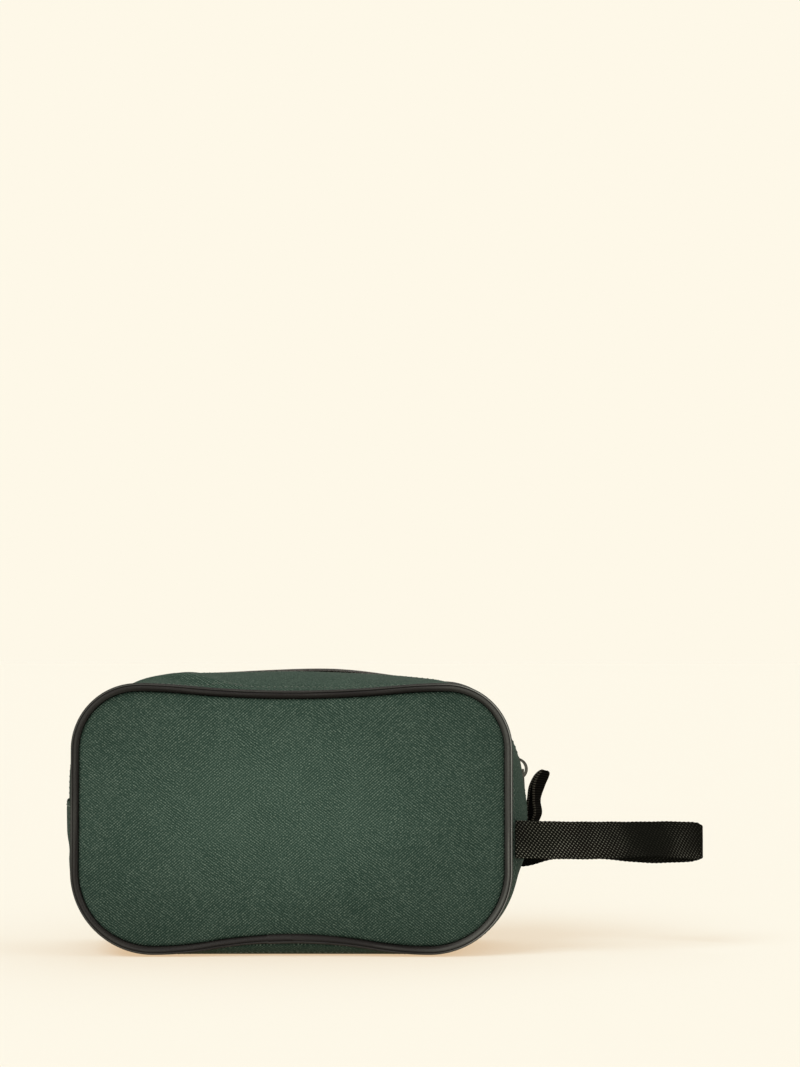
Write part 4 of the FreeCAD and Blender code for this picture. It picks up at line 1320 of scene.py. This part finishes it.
def build_strap():
    loop = strap("strap_webbing")
    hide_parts("wrist_strap", "strap_root_front", "strap_root_rear")
    root, full = STRAP_BEND
    weights = smooth((points_of(loop)[:, 0] - root) / (full - root))
    set_blend(loop)
    tab = end_tab("tab_ribbon")
    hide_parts("zip_end_tab")
    weights = smooth((points_of(tab)[:, 2] - TAB_Z) / TAB_BEND)
    root, full = ((TAB_X * MM, 0, z * MM) for z in (TAB_Z, TAB_Z + TAB_BEND))
    set_blend(tab)


def keep_cad():
    """CAD nodes whose shape is right get their finish."""
    cords, slider = ("front_piping_cord", "rear_piping_cord"), ("slider_body", "slider_pull")
    for material, nodes in ((CORD, cords), (METAL, slider)):
        for node in nodes:
            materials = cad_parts[node].data.materials
            materials.clear()
            materials.append(material)


# ---- floor, light and camera ----

BACKDROP = (0.991, 0.939, 0.807)
STUDIO = 0.5                    # the dome lights the bag with this share of the backdrop's tone
FLOOR_COLOUR = (0.156, 0.240, 0.292)
LAMP_COLOUR = (1.0, 0.97, 0.92)
LAMPS = (                       # name, strength, spread in degrees, way the light travels
    ("key", 2.9, 36, (0.45, 0.50, -0.72)),
    ("front", 1.9, 50, (0.06, 0.96, -0.25)),
    ("side", 2.4, 60, (-0.92, 0.20, -0.34)),
    ("back", 1.3, 60, (-0.20, -0.50, -0.80)),
)
LENS = 82.5
CAMERA_PLACE = (0.0574, -1.340, 0.160)
CAMERA_TILT = 2.8               # degrees upward


def floor_glow():
    """Glow that brings the open floor to the backdrop's tone under the dome and the lamps."""
    sun = sum(strength * -Vector(way).normalized().z / math.pi for _, strength, _, way in LAMPS)
    return tuple(tone - own * (STUDIO * tone + sun * lamp)
                 for tone, own, lamp in zip(BACKDROP, FLOOR_COLOUR, LAMP_COLOUR))


def floor():
    """Pale seamless floor: mostly its own even tone, with a share that takes soft shadows."""
    size = 40.0
    mesh = bpy.data.meshes.new("floor")
    corners = [(-size, -size, 0), (size, -size, 0), (size, size, 0), (-size, size, 0)]
    mesh.from_pydata(corners, [], [(0, 1, 2, 3)])
    obj = add_object("floor", mesh)
    obj.location.z = CAD_BOX[0].z - 0.1 * MM
    made = Finish("floor", Base_Color=(*FLOOR_COLOUR, 1), Roughness=1.0, Specular_IOR_Level=0.0,
                  Emission_Color=(*floor_glow(), 1), Emission_Strength=1.0)
    mesh.materials.append(made.material)


def light():
    """Even backdrop, a dimmer dome of the same tone, and lamps from the upper left, front, right and back."""
    world = bpy.data.worlds.new("studio")
    world.use_nodes = True
    nodes, links = world.node_tree.nodes, world.node_tree.links
    shown, dome = nodes["Background"], nodes.new("ShaderNodeBackground")
    for made, strength in ((shown, 1.0), (dome, STUDIO)):
        made.inputs["Color"].default_value = (*BACKDROP, 1)
        made.inputs["Strength"].default_value = strength
    choice = nodes.new("ShaderNodeMixShader")
    links.new(nodes.new("ShaderNodeLightPath").outputs["Is Camera Ray"], choice.inputs[0])
    links.new(dome.outputs[0], choice.inputs[1])
    links.new(shown.outputs[0], choice.inputs[2])
    links.new(choice.outputs[0], nodes["World Output"].inputs["Surface"])
    bpy.context.scene.world = world
    for name, strength, spread, way in LAMPS:
        lamp = bpy.data.lights.new(name, "SUN")
        lamp.energy = strength
        lamp.angle = math.radians(spread)
        lamp.color = LAMP_COLOUR
        add_object(name, lamp).rotation_euler = Vector(way).to_track_quat("-Z", "Y").to_euler()


def camera():
    """Low front view, level with the top of the bag and a little right of its middle."""
    data = bpy.data.cameras.new("camera")
    data.lens = LENS
    data.sensor_width = 36.0
    data.clip_start = 0.05
    data.clip_end = 100.0
    obj = add_object("camera", data)
    obj.location = CAMERA_PLACE
    obj.rotation_euler = (math.radians(90 + CAMERA_TILT), 0, 0)
    bpy.context.scene.camera = obj
    bpy.context.scene.view_settings.view_transform = "Standard"


floor()
light()
camera()
build_sides()
build_base()
build_stitches()
build_strap()
keep_cad()
